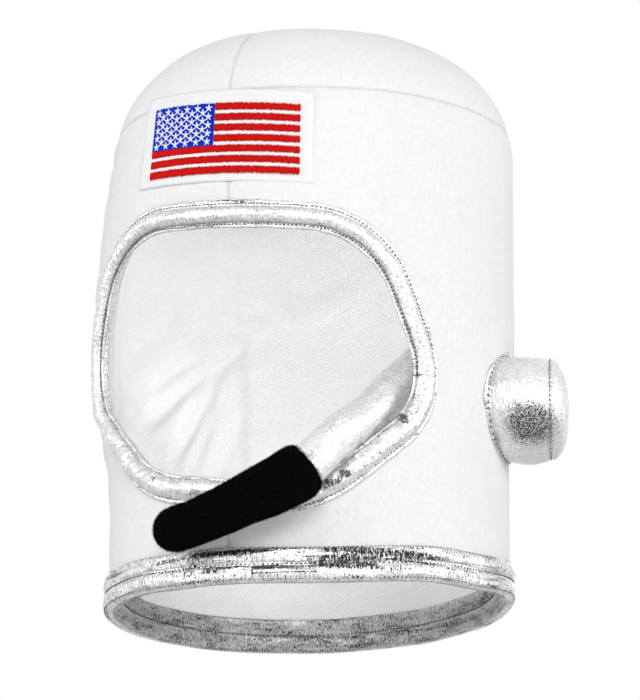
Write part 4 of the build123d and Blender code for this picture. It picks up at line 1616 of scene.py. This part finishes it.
def trimStitchPlaces(sideways, lift):
    count = int(trimLength / trim["stitchPitch"])
    places = []
    for stitch in range(count):
        index = int(trimSteps * stitch / count) % trimSteps
        point = trimPoint(index, sideways, lift)
        after = trimPoint((index + 2) % trimSteps, sideways + trim["stitchLean"], lift)
        out = (trimPoint(index, sideways, lift + 1.0) - point).normalized()
        places.append((point, (after - point).normalized(), out, 1.0))
    return places


# Rounds of stitches on the neck band, each as (height, lift)
def roundStitchPlaces(rounds, way):
    count = int(2 * halfRound / neck["stitchPitch"])
    places = []
    for height, lift in rounds:
        for stitch in range(count):
            across = -halfRound + 2 * halfRound * (stitch + 0.5) / count
            point = onShell(across, height, lift)
            after = onShell(across + 1.0, height, lift)
            out = onShell(across, height, lift + way) - point
            places.append((point, (after - point).normalized(), out.normalized(), 1.0))
    return places


ridge = neck["ridgeHeight"]
liningFace = -shell["liningInside"]
outsideRounds = ((2 * ridge - 0.3, 1.2), (ridge, 1.7), (1.0, 1.75))
insideRounds = ((2 * ridge - 0.5, liningFace - 0.95), (ridge, liningFace - 1.75))
# Stitches in near-black thread: painted shade of the sunk stitch grooves
for name, places, size, seed in (
    ("face_trim_stitches_outside", trimStitchPlaces(trim["flangeInner"] + 1.3, 1.0), (1.5, 0.6, 0.5), 3),
    (
        "face_trim_stitches_inside",
        trimStitchPlaces(-trim["lipInner"] - 0.9, trim["centreLift"] + 0.95),
        (1.5, 0.6, 0.5),
        4,
    ),
    ("neck_band_stitches_outside", roundStitchPlaces(outsideRounds, 1.0), (1.5, 0.75, 0.6), 5),
    ("neck_band_stitches_inside", roundStitchPlaces(insideRounds, -1.0), (1.5, 0.7, 0.6), 6),
    ("ear_knob_stitches", earStitchPlaces(), (1.5, 0.6, 0.6), 13),
):
    sewStitches(name, places, stitchShadowThread, "silver_lame", size, 0.15, seed)

# Fleece pile on the microphone
pile = {
    "Density": 5000000.0,
    "Length": 1.45 * mm,
    "Width": 0.10 * mm,
    "Lean": 0.6,
    "Seed": 7,
    "Fibre": fleeceFinish,
}
micCover.data = growWith(micCover, pileMaker, pile, "mic_fleece")
print("stitches and pile grown")


# Flag patch

patch = {
    "width": 101.5,
    "height": 48.7,
    "across": math.radians(-3.4) * shell["radius"],
    "centre": 229.9,
    "tilt": math.radians(5.5),
    "low": 0.1,
    "thickness": 1.1,
    "skew": 0.085,
    "ripples": ((0.35, 26.0, 71),),
    "cell": 1.4,
    "flagWidth": 85.0,
    "flagHeight": 36.0,
    "flagAcross": 1.6,
    "flagUp": -1.9,
    "fieldThickness": 0.45,
    "stripes": 13,
    "stripeFullness": 1.62,
    "whiteFullness": 0.95,
    "cantonWidth": 39.5,
    "cantonStripes": 8,
    "cantonRows": 9,
    "cantonFullness": 1.5,
    "threadPitch": 0.46,
    "starRows": 9,
    "starColumns": 6,
    "starRays": 5,
    "starReach": 1.9,
    "starStretch": 1.25,
    "borderInset": 3.6,
    "borderPitch": 2.2,
}


def onPatch(across, up, lift):
    across -= patch["skew"] * up * (across / patch["width"] + 0.5)
    cosine, sine = math.cos(patch["tilt"]), math.sin(patch["tilt"])
    flatAcross = patch["across"] + across * cosine + up * sine
    flatUp = patch["centre"] + up * cosine - across * sine
    lift += cloudSum((flatAcross, flatUp, 0), patch["ripples"])
    return onShell(flatAcross, lengthAtHeight(flatUp), lift)


# A point on the patch, with the ways to the right, up and out of it there
def patchWays(across, up, lift):
    point = onPatch(across, up, lift)
    right = (onPatch(across + 0.5, up, lift) - point).normalized()
    upward = (onPatch(across, up + 0.5, lift) - point).normalized()
    out = right.cross(upward).normalized()
    return point, right, upward, -out if out.dot(Vector((point.x, point.y, 0))) < 0 else out


# A sheet on the patch, from its low face to its high one, with its edges rounded down
def patchSheet(name, width, height, middle, low, high, finish, roundness):
    columns, rows = int(width / patch["cell"]), int(height / patch["cell"])
    outer, inner, flat = [], [], []
    for row in range(rows + 1):
        for column in range(columns + 1):
            x = -width / 2 + width * column / columns
            y = -height / 2 + height * row / rows
            edge = min(width / 2 - abs(x), height / 2 - abs(y))
            crown = (high - low) * (1 - 0.55 * math.exp(-edge / roundness))
            wobble = 0.25 * seedCloud((x, y, 0), 5.0, 72) * math.exp(-edge)
            across, up = middle[0] + x, middle[1] + y
            outer.append(onPatch(across + wobble, up + wobble, low + crown))
            inner.append(onPatch(across + wobble, up + wobble, low))
            flat.append((across, up))
    return closedPanel(name, outer, inner, gridQuads(columns, rows), flat, finish)


backing = patchSheet(
    "patch_backing_cloth",
    patch["width"],
    patch["height"],
    (0, 0),
    patch["low"],
    patch["low"] + patch["thickness"],
    twillFinish,
    0.7,
)
fitPiece(backing, "helmet", "patch_cloth", "patch_backing")
bodySheet(backing, patch["width"], patch["height"])

backingTop = 0.15 + patch["thickness"]
fieldTop = backingTop + patch["fieldThickness"]
flagMiddle = (patch["flagAcross"], patch["flagUp"])
field = patchSheet(
    "patch_white_field",
    patch["flagWidth"],
    patch["flagHeight"],
    flagMiddle,
    backingTop,
    fieldTop,
    whiteThread,
    0.5,
)
fitPiece(field, "helmet", "white_thread", "patch_field")

stripeHeight = patch["flagHeight"] / patch["stripes"]
flagLeft = patch["flagAcross"] - patch["flagWidth"] / 2
flagTop = patch["flagUp"] + patch["flagHeight"] / 2
cantonRight = flagLeft + patch["cantonWidth"]
cantonHeight = stripeHeight * patch["cantonStripes"] - 0.3


# Satin rows: threads stand upright side by side, ragged at both ends
def satinRow(left, right, middle, height, lift, seed, ragged):
    places = []
    count = int((right - left) / patch["threadPitch"])
    for index in range(count):
        across = left + (right - left) * (index + 0.5) / count
        shift = ragged * seedCloud((across, middle, 0), 0.9, seed)
        stretch = 1.0 + 0.12 * seedCloud((across, middle, 5.0), 0.7, seed + 1)
        point, rightWay, upward, out = patchWays(across, middle + shift, lift)
        places.append((point, upward, out, height * stretch))
    return places


def stripePlaces(first, fullness, lift, seed, ragged):
    places = []
    for stripe in range(first, patch["stripes"], 2):
        middle = flagTop - stripeHeight * (stripe + 0.5)
        left = cantonRight + 0.2 if stripe < patch["cantonStripes"] else flagLeft
        right = flagLeft + patch["flagWidth"]
        places += satinRow(left, right, middle, stripeHeight * fullness, fieldTop + lift, seed, ragged)
    return places


def cantonPlaces():
    places = []
    for row in range(patch["cantonRows"]):
        middle = flagTop - cantonHeight * (row + 0.5) / patch["cantonRows"]
        length = cantonHeight / patch["cantonRows"] * patch["cantonFullness"]
        places += satinRow(flagLeft, cantonRight, middle, length, fieldTop + 0.16, 85, 0.35)
    return places


# Each star is five stitches that cross at its middle
def starPlaces():
    places = []
    rowPitch = cantonHeight / (patch["starRows"] + 1)
    columnPitch = patch["cantonWidth"] / (patch["starColumns"] * 2)
    reach = patch["starReach"] * 0.52
    for row in range(patch["starRows"]):
        indent = row % 2
        up = flagTop - rowPitch * (row + 1)
        for column in range(patch["starColumns"] - indent):
            across = flagLeft + columnPitch * (1 + indent + 2 * column)
            for ray in range(patch["starRays"]):
                turn = math.pi / 2 + fullTurn * ray / patch["starRays"]
                turn += 0.12 * seedCloud((across, up, ray), 1.0, 87)
                point, rightWay, upward, out = patchWays(
                    across + reach * math.cos(turn), up + reach * math.sin(turn), fieldTop + 0.55
                )
                way = rightWay * math.cos(turn) + upward * math.sin(turn)
                places.append((point, way, out, patch["starReach"] * patch["starStretch"]))
    return places


def borderPlaces():
    places = []
    inset = patch["borderInset"]
    for horizontal, fixed in ((True, 1), (True, -1), (False, 1), (False, -1)):
        span = (patch["width"] if horizontal else patch["height"]) - 2 * inset
        other = ((patch["height"] if horizontal else patch["width"]) / 2 - inset) * fixed
        count = int(span / patch["borderPitch"])
        for index in range(count):
            here = -span / 2 + span * (index + 0.5) / count
            across, up = (here, other) if horizontal else (other, here)
            point, rightWay, upward, out = patchWays(across, up, backingTop)
            places.append((point, rightWay if horizontal else upward, out, 1.0))
    return places


red, white, blue = (redThread, "red_thread"), (whiteThread, "white_thread"), (blueThread, "blue_thread")
redPlaces = stripePlaces(0, patch["stripeFullness"], 0.2, 81, 0.42)
whitePlaces = stripePlaces(1, patch["whiteFullness"], 0.02, 83, 0.1)
for name, places, thread, size, variation, seed, nodes in (
    ("patch_red_rows", redPlaces, red, (1.0, 0.62, 0.75), 0.06, 8, ["patch_stripes"]),
    ("patch_white_rows", whitePlaces, white, (1.0, 0.6, 0.6), 0.06, 9, []),
    ("patch_blue_canton", cantonPlaces(), blue, (1.0, 0.62, 0.7), 0.06, 10, ["patch_canton"]),
    ("patch_white_stars", starPlaces(), white, (1.0, 0.85, 0.6), 0.1, 11, ["patch_stars"]),
    ("patch_border_stitches", borderPlaces(), white, (1.8, 0.5, 0.5), 0.08, 12, []),
):
    sewStitches(name, places, *thread, size, variation, seed, *nodes)
print("patch made")


# Camera, floor, backdrop and light

view = {
    "azimuth": math.radians(23.5),
    "elevation": math.radians(-14.8),
    "distance": 2.6,
    "target": (0.0, 0.0, 0.15),
    "lens": 256.4,
    "sensor": 36.0,
    "shiftAcross": 0.0126,
    "shiftUp": -0.0217,
    "nearest": 0.05,
    "farthest": 50.0,
}
stage = {
    "floorHeight": -0.8,
    "floorHalf": 4.0,
    "worldLight": 0.5,
    # name, place, size, power and aim
    "lamps": (
        ("keyLamp", (1.1, -2.6, 0.9), 1.2, 23.0, (0, 0, 0.15)),
        ("leftLamp", (-1.6, -2.0, 0.7), 1.0, 16.5, (0, 0, 0.15)),
        ("sideLamp", (2.6, 0.1, 0.6), 1.2, 21.0, (0, 0, 0.15)),
        ("lowLamp", (0.7, -1.7, -0.7), 0.8, 2.4, (0, 0, 0.15)),
        ("backLamp", (-0.9, 2.6, 0.9), 1.6, 12.0, (0, 0, 0.15)),
        ("insideLamp", (0.02, -0.05, 0.18), 0.06, 0.088, (-0.06, 0.1, 0.17)),
    ),
}


# Turns a camera or a lamp from its place the way given
def aimAlong(thing, place, way):
    thing.location = place
    thing.rotation_mode = "QUATERNION"
    thing.rotation_quaternion = way.to_track_quat("-Z", "Y")


def makeCamera():
    turn, rise = view["azimuth"], view["elevation"]
    backward = Vector((math.sin(turn) * math.cos(rise), -math.cos(turn) * math.cos(rise), math.sin(rise)))
    data = bpy.data.cameras.new("viewCamera")
    data.lens = view["lens"]
    data.sensor_width = view["sensor"]
    data.shift_x = view["shiftAcross"]
    data.shift_y = view["shiftUp"]
    data.clip_start = view["nearest"]
    data.clip_end = view["farthest"]
    camera = linkPiece("viewCamera", data)
    aimAlong(camera, Vector(view["target"]) + backward * view["distance"], -backward)
    bpy.context.scene.camera = camera


def makeFloor():
    half, height = stage["floorHalf"], stage["floorHeight"]
    corners = [(-half, -half, height), (half, -half, height), (half, half, height), (-half, half, height)]
    mesh = bpy.data.meshes.new("studioFloor")
    mesh.from_pydata(corners, [], [(0, 1, 2, 3)])
    finish, tree, shader = newFinish("paleFloor", 0.9)
    cloud = noiseOn(tree, placeOn(tree), (3, 3, 3))
    colour = blendColours(tree, cloud, (0.84, 0.84, 0.84), (0.88, 0.88, 0.88))
    joinNodes(tree, (colour, shader.inputs["Base Color"]))
    mesh.materials.append(finish)
    linkPiece("studioFloor", mesh)


# White where it is seen or mirrored, and dimmer as the light that falls on the helmet
def makeWorld():
    world = bpy.data.worlds.new("studioWorld")
    world.use_nodes = True
    bpy.context.scene.world = world
    tree = world.node_tree
    shader = next(node for node in tree.nodes if node.type == "BACKGROUND")
    rays = tree.nodes.new("ShaderNodeLightPath").outputs
    seen = mathOf(tree, "MAXIMUM", rays["Is Camera Ray"], rays["Is Glossy Ray"])
    seen = mathOf(tree, "MAXIMUM", seen, rays["Is Transmission Ray"])
    shader.inputs["Color"].default_value = (1.0, 1.0, 1.0, 1.0)
    joinNodes(tree, (rangeOf(tree, seen, 0.0, 1.0, stage["worldLight"], 1.0), shader.inputs["Strength"]))


def makeLamp(name, place, size, power, aim):
    data = bpy.data.lights.new(name, "AREA")
    data.shape = "DISK"
    data.size = size
    data.energy = power
    aimAlong(linkPiece(name, data), place, Vector(aim) - Vector(place))


makeCamera()
makeFloor()
makeWorld()
for lamp in stage["lamps"]:
    makeLamp(*lamp)
bpy.context.scene.view_settings.view_transform = "Standard"
print("stage made")

bpy.context.view_layer.update()
